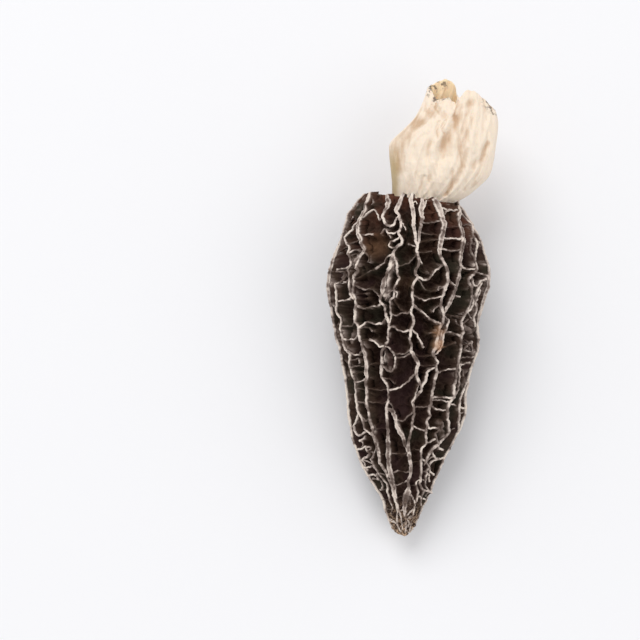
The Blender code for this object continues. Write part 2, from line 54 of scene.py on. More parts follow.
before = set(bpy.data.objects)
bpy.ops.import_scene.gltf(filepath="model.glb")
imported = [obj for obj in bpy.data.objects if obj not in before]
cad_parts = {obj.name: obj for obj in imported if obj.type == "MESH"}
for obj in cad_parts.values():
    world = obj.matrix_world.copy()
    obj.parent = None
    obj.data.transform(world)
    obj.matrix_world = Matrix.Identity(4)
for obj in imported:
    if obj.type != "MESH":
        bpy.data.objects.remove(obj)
SOLID_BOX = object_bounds()
MM = 0.001

# Places read in the photograph are (column, row) pixels. Everything else is in millimetres.
MM_PER_PIXEL = 0.1458
RIM_ROW = 193.0
TIP_COLUMN = 407.0
PHOTO_MIDDLE = (320.0, 320.0)
PHOTO_WIDTH = 640.0

# Cap: "along" runs down its axis from the rim to the tip. Angles go round the axis in degrees: 0 faces the
# viewer, and plus is to the right. Radius and centre are (along, millimetres) points, and the outlines are
# pixels. The rim lies RIM_MIDDLE along in front, and RIM_SLOPE further on its right, less far on its left.
CAP_LENGTH = 50.0
CAP_FLATTENING = 0.92
CAP_RADIUS = (
    (0.0, 6.9), (1.8, 7.4), (4.2, 9.1), (6.4, 10.3), (9.0, 11.0), (11.5, 11.8), (13.6, 12.0), (16.4, 11.1),
    (18.5, 10.4), (22.4, 10.5), (25.2, 9.5), (28.8, 8.8), (32.4, 8.6), (35.2, 7.8), (37.4, 6.9), (39.4, 5.8),
    (41.6, 4.7), (43.8, 3.9), (46.2, 2.9), (48.0, 1.9), (49.3, 1.5), (50.0, 0.8),
)
CAP_CENTRE = ((0.0, 0.6), (6.0, 0.1), (14.0, 0.1), (41.0, -0.4), (50.0, -0.3))
CAP_LEFT = (
    (360, 194), (352, 205), (346, 213), (344, 222), (341, 235), (332, 256), (326, 272), (324, 288),
    (327, 303), (332, 318), (333, 331), (336, 344), (342, 365), (344, 391), (346, 416), (349, 432),
    (352, 445), (357, 459), (363, 471), (370, 481), (379, 496), (385, 509), (389, 523), (394, 532),
    (402, 536),
)
CAP_RIGHT = (
    (459, 194), (462, 207), (473, 222), (483, 237), (486, 254), (490, 267), (492, 279), (489, 292),
    (484, 306), (480, 320), (479, 333), (481, 346), (476, 362), (471, 373), (468, 393), (467, 417),
    (460, 433), (451, 449), (441, 463), (437, 478), (434, 493), (429, 503), (421, 513), (415, 526),
    (408, 536),
)
NET_END = 48.0
RIM_MIDDLE = 0.85
RIM_SLOPE = 0.9
SEEN_EDGE = 0.99

# Long ridges of the side that faces the viewer, from the rim to the tip. Each crest is so many pixels wide,
# or has (row, pixels) pairs where its width changes.
FRONT_RIDGES = (
    (2.0, (
        (333, 284), (334, 294), (335, 303), (335, 311), (339, 320), (339, 328), (340, 336), (344, 348),
        (348, 354), (347, 360), (349, 371), (353, 382), (354, 389), (355, 401), (356, 410), (359, 416),
        (361, 421), (364, 429), (371, 434), (375, 441), (378, 452),
    )),
    (2.0, ((356, 412), (354, 421), (352, 425))),
    (2.0, (
        (355, 223), (349, 232), (345, 236), (343, 239), (345, 244), (347, 250), (346, 253), (348, 258),
        (349, 265), (346, 270), (347, 276), (347, 288), (350, 297), (353, 300),
    )),
    (((193, 4.0), (205, 4.6), (250, 4.4), (262, 2.6), (345, 2.6), (352, 4.2), (375, 4.0), (395, 2.4),
      (425, 3.6), (450, 3.4), (475, 2.6)), (
        (367, 193), (365, 200), (363, 205), (363, 211), (360, 216), (356, 221), (355, 228), (356, 236),
        (358, 242), (361, 248), (362, 251), (358, 258), (354, 267), (356, 272), (352, 277), (351, 288),
        (352, 297), (354, 307), (353, 313), (353, 322), (356, 328), (356, 334), (359, 342), (363, 355),
        (365, 364), (364, 378), (364, 391), (365, 403), (367, 413), (368, 421), (371, 428), (371, 434),
        (373, 440), (377, 454), (378, 462), (381, 467), (385, 473), (388, 480), (391, 486), (392, 494),
        (395, 504), (396, 512), (396, 522), (400, 531),
    )),
    (1.8, (
        (369, 458), (372, 464), (376, 471), (380, 476), (385, 483), (386, 491), (388, 499), (391, 506),
        (390, 514),
    )),
    (((193, 6.5), (205, 5.2), (214, 2.6)), (
        (384, 196), (386, 204), (383, 212), (381, 218), (383, 225), (388, 228), (392, 227), (394, 222),
        (397, 217),
    )),
    (1.8, ((379, 236), (383, 230), (386, 234), (391, 235), (396, 233))),
    (1.6, ((384, 231), (386, 235), (389, 240))),
    (((193, 5.6), (207, 4.8), (217, 3.2), (272, 3.0), (281, 5.6), (291, 4.8), (300, 2.6), (405, 2.4),
      (425, 3.2), (440, 5.6), (485, 5.4), (500, 2.8)), (
        (402, 195), (398, 203), (394, 212), (397, 218), (399, 223), (399, 228), (396, 234), (398, 238),
        (400, 242), (399, 246), (394, 249), (391, 255), (389, 262), (387, 269), (384, 276), (381, 285),
        (380, 293), (378, 302), (382, 306), (383, 311), (384, 317), (387, 323), (386, 331), (386, 340),
        (383, 346), (380, 350), (379, 364), (379, 375), (381, 378), (385, 384), (386, 389), (387, 399),
        (384, 406), (385, 414), (386, 422), (386, 432), (386, 445), (386, 453), (388, 466), (391, 478),
        (393, 492), (397, 508), (401, 518), (402, 529),
    )),
    (1.5, ((399, 223), (401, 226), (404, 232))),
    (1.8, ((398, 238), (396, 240), (391, 242), (388, 243), (387, 247), (389, 250), (394, 249))),
    (2.2, (
        (391, 254), (394, 264), (395, 275), (397, 280), (392, 288), (391, 297), (388, 301), (388, 310),
        (389, 318), (387, 323),
    )),
    (1.5, ((383, 301), (386, 295), (390, 291), (395, 293), (394, 298))),
    (4.6, ((385, 407), (391, 410), (394, 418), (396, 426), (401, 434), (403, 440), (406, 447), (408, 452))),
    (2.0, (
        (383, 346), (386, 346), (390, 350), (393, 356), (393, 364), (390, 370), (386, 370), (382, 366),
        (380, 363),
    )),
    (1.5, ((383, 350), (382, 361))),
    (((193, 4.0), (212, 4.8), (226, 4.6), (240, 3.0), (345, 2.4), (352, 3.4), (385, 3.2), (400, 2.4),
      (440, 3.0), (450, 4.4), (475, 3.4), (485, 3.4), (492, 6.4), (507, 6.4), (515, 3.4)), (
        (411, 195), (409, 202), (412, 217), (412, 230), (413, 239), (415, 248), (415, 252), (416, 258),
        (417, 265), (413, 274), (415, 278), (410, 286), (410, 294), (411, 305), (409, 311), (412, 320),
        (410, 328), (408, 338), (410, 344), (409, 351), (414, 357), (416, 364), (414, 371), (416, 378),
        (421, 385), (419, 391), (412, 399), (412, 410), (411, 419), (410, 428), (408, 437), (407, 448),
        (409, 459), (410, 466), (410, 473), (407, 479), (408, 486), (406, 492), (404, 504), (404, 513),
        (406, 522), (405, 532),
    )),
    (1.5, ((417, 384), (415, 391), (411, 401), (412, 408))),
    (1.8, ((408, 486), (411, 494), (415, 501), (414, 508))),
    (1.6, ((410, 206), (414, 203), (416, 206))),
    (1.6, ((415, 252), (417, 258), (420, 265))),
    (((193, 6.4), (212, 5.0), (228, 2.8)), (
        (422, 200), (420, 211), (421, 219), (420, 226), (418, 234), (417, 242), (415, 249), (415, 252),
    )),
    (2.0, ((426, 202), (424, 207), (421, 213))),
    (((193, 7.0), (203, 8.6), (216, 7.0), (248, 5.6), (262, 3.2), (310, 3.2), (350, 2.8), (440, 2.4)), (
        (434, 200), (436, 204), (440, 214), (443, 225), (442, 233), (439, 241), (438, 249), (438, 255),
        (441, 262), (444, 267), (446, 274), (445, 285), (443, 291), (440, 299), (439, 306), (442, 315),
        (441, 322), (438, 329), (436, 336), (435, 344), (433, 350), (432, 354), (436, 361), (434, 367),
        (436, 371), (433, 380), (433, 384), (431, 392), (430, 401), (428, 409), (429, 414), (426, 418),
        (426, 425), (425, 435), (425, 442), (420, 449), (421, 455), (421, 466), (421, 478), (420, 483),
        (423, 488), (429, 490), (434, 493),
    )),
    (2.0, ((420, 478), (416, 481), (418, 490), (418, 497), (416, 503), (414, 509), (412, 518), (410, 530))),
    (1.8, ((442, 316), (447, 320), (445, 328), (442, 334), (441, 342), (438, 351), (433, 354))),
    (2.6, ((434, 366), (427, 370), (425, 375), (424, 381), (420, 386))),
    (2.0, ((426, 418), (428, 426), (431, 427), (434, 425), (438, 428), (434, 432), (436, 438), (438, 443))),
    (((205, 4.0), (214, 5.8), (258, 5.4), (265, 3.2), (294, 4.0), (300, 5.4), (306, 3.6)), (
        (461, 207), (460, 214), (459, 221), (462, 231), (463, 242), (461, 252), (459, 262), (459, 270),
        (457, 279), (456, 283), (454, 291), (450, 299), (446, 307), (442, 315),
    )),
    (1.6, ((446, 275), (447, 281), (451, 285), (455, 288))),
    (2.6, (
        (473, 224), (473, 236), (477, 242), (476, 252), (475, 260), (476, 268), (473, 274), (467, 281),
        (471, 288), (471, 294), (474, 299), (472, 307), (466, 313), (460, 321), (463, 331), (461, 336),
        (461, 342), (459, 355), (456, 369), (455, 378), (454, 392), (454, 396), (450, 401), (447, 410),
        (447, 416), (449, 422), (449, 432), (443, 438), (438, 443), (432, 449), (427, 456), (424, 464),
    )),
    (2.0, ((473, 236), (471, 242), (471, 252), (474, 260), (476, 267))),
    (1.8, ((471, 294), (470, 299), (469, 306), (466, 311), (461, 320))),
    (1.8, ((458, 362), (460, 369), (459, 378), (459, 389), (454, 396))),
    (2.4, ((482, 283), (479, 288), (476, 292), (474, 299), (476, 308), (474, 318), (475, 327))),
    (2.0, ((468, 381), (463, 392), (460, 400), (460, 408), (460, 419), (459, 429), (456, 437))),
)

# Ridges at the two edges of that side: widths, and (along, angle) points
EDGE_RIDGES = {
    "L0": (((193, 1.4), (228, 1.4), (238, 2.6), (253, 4.8), (304, 4.4), (312, 2.6)), (
        (0.2, -98.0), (3.0, -95.0), (5.0, -92.0), (6.5, -87.0), (8.5, -82.0), (11.0, -79.0), (14.0, -78.0),
        (16.4, -80.0), (20.2, -83.0), (23.6, -81.0), (28.0, -80.0), (32.0, -79.0), (36.0, -78.0),
        (40.0, -80.0), (44.0, -78.0), (48.0, -80.0),
    )),
    "R9": (((210, 1.4), (254, 1.4), (266, 3.0), (290, 5.4), (312, 5.0), (325, 3.0), (440, 2.4)), (
        (1.5, 95.0), (4.2, 93.0), (7.0, 90.0), (9.0, 87.0), (10.5, 84.0), (12.0, 81.0), (14.0, 78.0),
        (16.6, 79.0), (19.2, 78.0), (22.4, 80.0), (25.6, 79.0), (28.8, 78.0), (32.2, 80.0), (34.4, 78.0),
        (38.0, 79.0), (42.0, 77.0), (48.0, 78.0),
    )),
}

# Ridges of the hidden side: (angle at the rim and belly, angle at the tip, ridge met on the way, where)
BACK_RIDGES = {
    "B1": (108.0, 112.0, None, NET_END),
    "B2": (128.0, 116.0, "B1", 36.2),
    "B3": (148.0, 156.0, "B4", 38.4),
    "B4": (169.0, 158.0, None, NET_END),
    "B5": (191.0, 202.0, None, NET_END),
    "B6": (213.0, 205.0, "B5", 37.0),
    "B7": (234.0, 243.0, "B8", 34.8),
    "B8": (252.0, 247.0, None, NET_END),
}
BACK_WIDTHS = ((193, 4.0), (235, 4.6), (275, 2.6), (440, 2.2))
BACK_SPREAD_FROM = 30.0
BACK_STEP = 2.9
BACK_WANDER = 2.6

# Cross ribs of the side that faces the viewer, from faint and low (0.5) to strong (1.5)
FRONT_RIBS = (
    (0.9, ((356, 219), (360, 218), (364, 214), (369, 211), (373, 214), (375, 219), (377, 221), (381, 219))),
    (0.7, ((369, 196), (367, 201), (369, 206))),
    (0.9, ((357, 235), (365, 236), (371, 236))),
    (0.6, ((347, 242), (354, 241), (358, 241))),
    (1.0, ((347, 253), (351, 251), (360, 252))),
    (0.7, ((348, 256), (353, 254), (359, 256))),
    (1.0, ((335, 270), (341, 269), (347, 267))),
    (0.8, ((335, 253), (340, 249), (345, 248))),
    (0.8, ((334, 272), (339, 273), (341, 278), (338, 283))),
    (1.0, ((333, 284), (338, 283), (346, 281))),
    (0.8, ((361, 253), (364, 258), (366, 263))),
    (1.1, ((390, 255), (384, 259), (382, 264), (377, 267), (373, 270))),
    (0.7, ((373, 270), (364, 273), (353, 280))),
    (0.8, ((353, 286), (358, 290), (367, 290), (371, 292), (377, 297), (379, 298))),
    (0.5, ((356, 294), (362, 294))),
    (0.5, ((357, 299), (363, 299))),
    (1.2, ((354, 306), (362, 309), (369, 307), (375, 307), (380, 304))),
    (1.2, ((357, 327), (360, 325), (364, 322), (374, 324), (379, 323), (384, 318))),
    (0.9, ((358, 328), (363, 327), (370, 331))),
    (1.2, ((367, 339), (372, 341), (377, 346), (383, 346))),
    (1.0, ((336, 303), (342, 300), (349, 297))),
    (0.8, ((341, 326), (346, 326), (350, 323), (353, 322))),
    (0.9, ((342, 339), (349, 339), (355, 334))),
    (1.1, ((346, 350), (349, 354), (354, 354), (360, 350))),
    (0.8, ((349, 361), (352, 358), (355, 359), (357, 363))),
    (0.8, ((350, 368), (354, 365), (358, 366), (364, 365))),
    (0.7, ((351, 373), (356, 371), (361, 373))),
    (1.0, ((354, 381), (359, 380), (364, 376))),
    (0.6, ((355, 388), (360, 389), (364, 391))),
    (0.8, ((356, 401), (360, 402), (361, 406), (365, 405))),
    (1.0, ((358, 413), (361, 419), (367, 416))),
    (0.8, ((361, 419), (366, 419), (369, 424))),
    (1.3, ((351, 427), (353, 431), (356, 435), (360, 432), (364, 430))),
    (1.2, ((357, 440), (360, 437), (363, 435))),
    (1.0, ((359, 440), (359, 443), (360, 446))),
    (1.4, ((356, 450), (359, 448), (363, 445), (363, 448), (365, 451), (367, 453), (364, 456), (360, 459))),
    (0.9, ((363, 446), (366, 446), (367, 449))),
    (0.9, ((372, 437), (372, 445), (371, 449), (371, 454))),
    (0.9, ((365, 451), (368, 451), (371, 454))),
    (1.1, ((360, 459), (362, 463), (362, 467), (366, 470))),
    (0.9, ((362, 459), (365, 461), (369, 463), (371, 462))),
    (1.0, ((363, 466), (367, 466), (370, 465), (373, 467))),
    (1.3, ((368, 475), (371, 474), (373, 475), (374, 473), (376, 479))),
    (1.0, ((371, 478), (375, 479), (378, 482), (380, 488))),
    (0.9, ((377, 472), (381, 474), (385, 478))),
    (0.9, ((378, 489), (382, 488), (386, 487))),
    (0.7, ((382, 498), (386, 499), (389, 497))),
    (0.8, ((386, 509), (390, 508), (395, 505))),
    (1.2, ((387, 327), (391, 326), (396, 330), (402, 332), (410, 330))),
    (0.9, ((388, 313), (393, 316), (398, 313), (406, 313), (410, 311))),
    (0.6, ((392, 299), (395, 307), (400, 311), (404, 313))),
    (1.1, ((392, 355), (395, 357), (402, 356), (409, 352))),
    (0.9, ((393, 353), (402, 353), (409, 349))),
    (0.9, ((380, 377), (387, 378), (392, 382))),
    (1.1, ((386, 389), (394, 387), (403, 383), (409, 377), (414, 372))),
    (1.0, ((386, 401), (389, 403), (394, 409))),
    (1.0, ((395, 417), (401, 419), (406, 415), (411, 410))),
    (1.0, ((406, 246), (411, 247), (415, 249))),
    (0.8, ((416, 254), (412, 259), (407, 264), (401, 266))),
    (0.6, ((365, 388), (372, 389), (378, 389), (386, 388))),
    (0.7, ((366, 400), (371, 401), (379, 402), (386, 400))),
    (0.5, ((366, 364), (374, 363), (379, 364))),
    (0.5, ((371, 428), (378, 427), (386, 428))),
    (0.5, ((377, 452), (382, 453), (387, 451))),
    (0.6, ((383, 471), (387, 471), (390, 470))),
    (0.5, ((420, 206), (428, 207), (436, 206))),
    (0.5, ((420, 214), (428, 215), (438, 213))),
    (0.8, ((420, 224), (427, 225), (440, 223))),
    (0.6, ((418, 234), (427, 236), (439, 235))),
    (0.7, ((417, 244), (428, 242), (437, 240))),
    (0.6, ((417, 254), (425, 254), (430, 253))),
    (1.2, ((415, 278), (421, 281), (427, 280), (433, 273), (440, 267))),
    (0.5, ((418, 270), (422, 274), (427, 274))),
    (0.8, ((420, 283), (424, 290), (430, 292), (436, 290), (443, 287))),
    (1.1, ((436, 291), (438, 287), (444, 288))),
    (0.9, ((411, 295), (418, 299), (424, 301), (430, 299), (436, 294))),
    (1.4, ((411, 305), (423, 314), (431, 320), (440, 324))),
    (0.9, ((431, 312), (435, 308), (439, 305))),
    (1.2, ((410, 330), (415, 334), (419, 341), (422, 347))),
    (0.7, ((427, 333), (437, 332))),
    (0.6, ((421, 364), (427, 365), (434, 363))),
    (0.5, ((417, 352), (422, 356), (426, 356))),
    (0.8, ((412, 406), (424, 405), (428, 406))),
    (1.1, ((411, 423), (417, 426), (425, 430))),
    (0.6, ((408, 448), (415, 448), (421, 448))),
    (0.5, ((409, 461), (415, 460), (421, 460))),
    (1.2, ((440, 239), (450, 240), (457, 240), (463, 240))),
    (1.1, ((438, 251), (445, 251), (451, 252), (461, 251))),
    (1.0, ((438, 207), (445, 210), (450, 211), (457, 207))),
    (0.9, ((441, 217), (446, 216), (450, 211))),
    (0.5, ((443, 228), (452, 229), (461, 228))),
    (1.0, ((460, 265), (467, 270), (475, 269))),
    (0.9, ((476, 272), (483, 274), (488, 276))),
    (1.1, ((471, 278), (475, 285), (479, 287), (482, 282), (487, 279))),
    (0.9, ((454, 294), (459, 297))),
    (0.6, ((461, 224), (466, 226), (473, 225))),
    (0.9, ((466, 310), (470, 312), (477, 317))),
    (0.9, ((455, 320), (461, 325), (464, 330))),
    (0.9, ((461, 322), (466, 323), (468, 319))),
    (0.8, ((462, 335), (468, 340), (472, 343))),
    (1.0, ((472, 341), (466, 349), (474, 351), (472, 341))),
    (0.8, ((460, 357), (468, 357), (475, 356))),
    (0.7, ((461, 346), (465, 344), (470, 345))),
    (0.9, ((461, 360), (465, 364), (470, 362))),
    (0.8, ((462, 366), (466, 370), (464, 376))),
    (0.6, ((442, 316), (451, 315), (461, 316))),
    (1.2, ((441, 333), (445, 332), (451, 332), (461, 336))),
    (0.6, ((442, 348), (448, 346), (455, 342))),
    (1.0, ((435, 370), (440, 371), (447, 369), (456, 368))),
    (1.3, ((431, 397), (438, 396), (449, 397), (454, 397))),
    (0.9, ((431, 399), (441, 399), (450, 401))),
    (1.1, ((430, 404), (436, 408), (441, 409), (447, 409))),
    (1.0, ((450, 402), (457, 404), (466, 408))),
    (0.8, ((460, 414), (465, 412))),
    (0.7, ((449, 431), (457, 428), (462, 428))),
    (1.1, ((425, 442), (428, 441), (431, 440), (434, 438))),
    (1.2, ((439, 445), (441, 447), (444, 449))),
    (1.2, ((434, 451), (435, 454), (438, 457), (441, 458), (444, 458))),
    (1.2, ((440, 458), (436, 460), (433, 461), (430, 464))),
    (1.3, ((422, 457), (425, 459), (428, 462), (430, 465), (431, 468))),
    (0.9, ((431, 450), (430, 455), (428, 458), (427, 461))),
    (1.0, ((428, 462), (431, 458), (433, 455))),
    (1.3, ((430, 467), (432, 471), (435, 474))),
    (1.3, ((430, 467), (427, 470), (429, 473), (427, 475), (427, 479))),
    (1.2, ((430, 473), (432, 475), (431, 478), (431, 481))),
    (0.8, ((423, 470), (427, 470))),
    (1.0, ((422, 479), (427, 479))),
    (1.0, ((427, 479), (428, 482), (430, 487), (432, 489))),
    (1.1, ((426, 490), (425, 494), (425, 498), (423, 502), (423, 505))),
    (1.1, ((419, 496), (421, 495), (425, 498), (427, 498), (430, 501))),
    (0.9, ((431, 491), (430, 495), (431, 498))),
    (0.8, ((416, 506), (421, 507), (425, 506))),
    (0.7, ((388, 451), (395, 452), (401, 452), (407, 450))),
    (0.8, ((391, 471), (397, 469), (406, 471), (409, 470))),
    (0.9, ((395, 484), (403, 481), (408, 478))),
    (0.7, ((394, 497), (400, 495), (405, 495))),
    (0.6, ((408, 486), (412, 484), (417, 483))),
    (1.5, ((395, 506), (398, 510), (401, 509), (404, 508))),
    (1.2, ((396, 510), (396, 515), (396, 519), (394, 522))),
    (1.5, ((403, 515), (406, 517), (408, 519), (411, 522))),
    (1.5, ((409, 516), (407, 519), (406, 522), (407, 525), (409, 529))),
    (1.5, ((390, 519), (391, 521), (393, 523), (398, 526), (402, 529))),
    (1.3, ((399, 525), (399, 528), (399, 531))),
    (1.3, ((393, 524), (395, 528), (397, 532))),
    (1.4, ((411, 522), (409, 526), (411, 530), (410, 533))),
    (1.3, ((405, 529), (408, 531), (410, 530))),
    (1.3, ((413, 515), (413, 519), (413, 523), (412, 527))),
    (1.2, ((404, 530), (404, 533))),
    (1.3, ((414, 508), (411, 511), (409, 513), (407, 516))),
    (1.0, ((400, 522), (403, 522), (406, 522))),
)
# Faint ribs of the two flanks by the rim: (along, angle) points
FLANK_RIBS = (
    (0.6, ((1.6, -97.0), (2.2, -84.0), (1.6, -70.0))),
    (0.6, ((3.4, -96.0), (4.4, -84.0), (3.8, -72.0), (3.6, -64.0))),
    (0.7, ((5.4, -92.0), (6.0, -80.0), (5.8, -72.0))),
    (0.7, ((2.4, 95.0), (3.0, 86.0), (2.2, 76.0))),
    (0.7, ((3.4, 94.0), (4.4, 90.0), (4.6, 84.0))),
    (0.8, ((1.2, 84.0), (2.8, 86.0), (4.6, 84.0))),
)
# Faces that stand nearly as high as the ridges beside them: two pixels, a reach in millimetres and paleness
WEBS = (
    ((389, 264), (383, 296), 0.75, 0.7), ((353, 255), (353, 268), 0.6, 0.66),
    ((347, 331), (346, 349), 0.55, 0.5), ((338, 272), (338, 280), 0.6, 0.6),
    ((481, 292), (477, 312), 0.75, 0.68), ((366, 420), (371, 431), 0.5, 0.75),
    ((392, 414), (403, 438), 0.35, 0.7), ((441, 421), (444, 434), 0.7, 0.5),
    ((440, 332), (437, 346), 0.6, 0.7), ((387, 355), (388, 366), 0.6, 0.42),
    ((468, 326), (473, 332), 0.5, 0.52), ((466, 362), (463, 372), 0.5, 0.5),
    ((409, 494), (409, 506), 0.4, 0.56), ((365, 195), (351, 212), 1.2, 0.36),
)

# Cross ribs of the hidden side: where they begin and end beside their ridges, the gap from one to the next,
# how far one end lies above the other, how far the middle hangs, and strengths as above
RIM_SIDE_RIBS = 2.5
TIP_SIDE_RIBS = 1.0
RIB_GAP = (2.9, 4.3)
NARROW_GAP = 0.45
NARROW_GAP_RISE = 0.06
RIB_SLANT = 1.0
RIB_SAG = (-0.3, 1.1)
RIB_WIDTH = (0.5, 1.25)

# Base opening and hollow of the cap: (along, half width, half depth)
OPENING_CENTRE = 1.75
OPENING = ((1.9, 4.7, 3.7), (2.4, 4.6, 3.6), (3.8, 4.6, 3.6))
HOLLOW_CENTRE = 0.2
HOLLOW = (
    (6.0, 6.1, 5.6), (10.0, 7.4, 6.8), (15.0, 8.0, 7.3), (20.0, 6.8, 6.1), (26.0, 5.7, 5.0), (32.0, 4.9, 4.4),
    (36.5, 3.3, 3.0), (40.0, 1.2, 1.1),
)

# Stem: its edges and torn mouth as (along, side), and half its thickness and its bend at shares of its length
STEM_LEFT = (
    (3.2, -2.5), (1.0, -2.2), (-1.4, -2.2), (-3.6, -2.4), (-5.7, -2.6), (-7.4, -2.4), (-9.3, -0.5),
    (-11.0, 1.1), (-13.3, 2.3), (-15.3, 3.0),
)
STEM_RIGHT = (
    (3.2, 5.6), (1.9, 6.2), (0.6, 8.6), (-0.9, 10.5), (-2.5, 12.0), (-4.6, 12.6), (-6.6, 12.9), (-8.6, 13.2),
    (-10.4, 13.3), (-11.8, 13.0),
)
STEM_MOUTH = (
    (-15.3, 3.0), (-16.4, 4.6), (-16.6, 6.0), (-15.7, 7.1), (-14.0, 7.5), (-14.9, 8.8), (-14.4, 10.3),
    (-13.1, 11.8), (-11.8, 13.0),
)
STEM_HALF_DEPTH = ((0.0, 2.9), (0.15, 3.0), (0.35, 3.6), (0.6, 3.4), (0.85, 2.3), (1.0, 1.5))
STEM_BEND = ((0.0, 0.0), (0.3, 0.2), (0.65, 0.6), (1.0, -0.4))

# The mouth's upper edge is torn lower about this share of the way across, and shows the inner face there
LIP_MIDDLE = 0.24
LIP_REACH = 0.2
LIP_DROP = 2.9

# Creases and folds of the stem's upper side: height and reach in millimetres, tint from -1 dark to 1 pale,
# and pixels. The tint is partly the stem's own marks and partly painted shade in creases and under the lip,
# and painted highlight on raised folds.
STEM_MARKS = (
    (-0.5, 0.45, -0.8, ((487, 145), (483, 152), (479, 160), (471, 168))),
    (-0.35, 0.4, -0.6, ((451, 173), (450, 183), (446, 195))),
    (-0.3, 0.25, -0.7, ((423, 178), (420, 188), (417, 198))),
    (-0.3, 0.18, -1.0, ((438, 123), (436, 131), (437, 139))),
    (-0.3, 0.18, -1.0, ((444, 122), (441, 128), (442, 134))),
    # painted shade in a crushed crease
    (-0.35, 1.0, -0.5, ((444, 139), (445, 158))),
    # painted highlight: a soft pale patch
    (0.12, 0.7, 0.6, ((432, 169), (440, 168), (450, 164))),
    (0.3, 0.45, -0.35, ((437, 102), (440, 107), (446, 112), (450, 114))),
    (0.3, 0.35, -0.25, ((434, 98), (441, 101), (449, 99), (457, 99))),
    (0.45, 0.5, -0.25, ((429, 90), (429, 107))),
    (-0.3, 0.16, -1.0, ((424, 96), (424, 107))),
    (-0.3, 0.16, -0.8, ((435, 92), (435, 104), (439, 110))),
    (-0.25, 0.9, -0.6, ((406, 137), (402, 152), (400, 170))),
    (-0.1, 0.7, -0.9, ((413, 125), (422, 119))),
    (-0.3, 0.3, -0.7, ((412, 122), (419, 112), (424, 106))),
    # painted shadow below the lip
    (-0.1, 1.0, -0.65, ((430, 110), (438, 113), (447, 115))),
    (0.25, 0.7, 0.6, ((494, 117), (495, 132), (493, 146))),
    (-0.3, 0.2, -1.0, ((486, 102), (491, 107), (494, 111))),
    (-0.2, 0.2, -0.6, ((492, 110), (488, 117), (488, 122))),
    # painted shadow band beside the lip
    (-0.25, 0.7, -0.7, ((450, 105), (460, 106), (474, 104))),
    (-0.15, 1.6, -0.75, ((462, 122), (464, 140), (460, 160))),
    (0.3, 0.4, 0.4, ((414, 195), (413, 175), (418, 155), (426, 133))),
    (-0.2, 0.3, -0.4, ((407, 195), (407, 172), (411, 152), (417, 134))),
    (-0.2, 0.3, -0.5, ((431, 196), (428, 178), (426, 160), (429, 142))),
    (0.25, 0.35, 0.3, ((437, 195), (436, 180), (433, 165))),
    (-0.2, 0.3, -0.4, ((462, 168), (459, 150), (456, 135), (455, 118))),
    (0.25, 0.4, 0.4, ((473, 152), (469, 136), (467, 120))),
    (0.3, 0.5, 0.5, ((478, 182), (486, 168), (491, 152))),
    (-0.2, 0.3, -0.4, ((462, 190), (467, 178), (474, 170))),
    (-0.2, 0.2, -0.6, ((456, 98), (457, 106), (453, 116))),
)
# Lines that soil clings to, in pixels
MOUTH_SOIL = ((428, 91), (434, 84), (443, 82))
EDGE_SOIL = ((486, 102), (490, 107), (495, 112))

# How the morel lies: its belly and a lower place touch the ground
BELLY_STATION = 13.6
LOW_STATION = 32.6


class MorelCap(bpy.types.PropertyGroup):
    """Sizes of the cap's net and pits."""

    crest_share: bpy.props.FloatProperty(
        name="Crest Share", description="Width of the ridges' crests, 1 as read in the photograph",
        default=0.92)
    rib_width: bpy.props.FloatProperty(
        name="Rib Width", description="Usual width of a cross rib's crest", default=0.00020, unit="LENGTH")
    pit_depth: bpy.props.FloatProperty(
        name="Pit Depth", description="Depth of a wide pit under its crests", default=0.0030, unit="LENGTH")
    waviness: bpy.props.FloatProperty(
        name="Waviness", description="How far a crest sways to its sides", default=0.00014, unit="LENGTH")
    wrinkle: bpy.props.FloatProperty(
        name="Wrinkle", description="Height of the veins in the pits", default=0.00022, unit="LENGTH")
    seed: bpy.props.IntProperty(name="Seed", description="Draw of the hidden side's net", default=11)


class MorelStem(bpy.types.PropertyGroup):
    """Sizes of the stem's wall and folds."""

    wall: bpy.props.FloatProperty(
        name="Wall", description="Thickness of the dried stem's wall", default=0.0005, unit="LENGTH")
    fold_height: bpy.props.FloatProperty(
        name="Fold Height", description="Height of the long folds", default=0.00042, unit="LENGTH")
    crease_height: bpy.props.FloatProperty(
        name="Crease Height", description="Height of the fine creases", default=0.00013, unit="LENGTH")


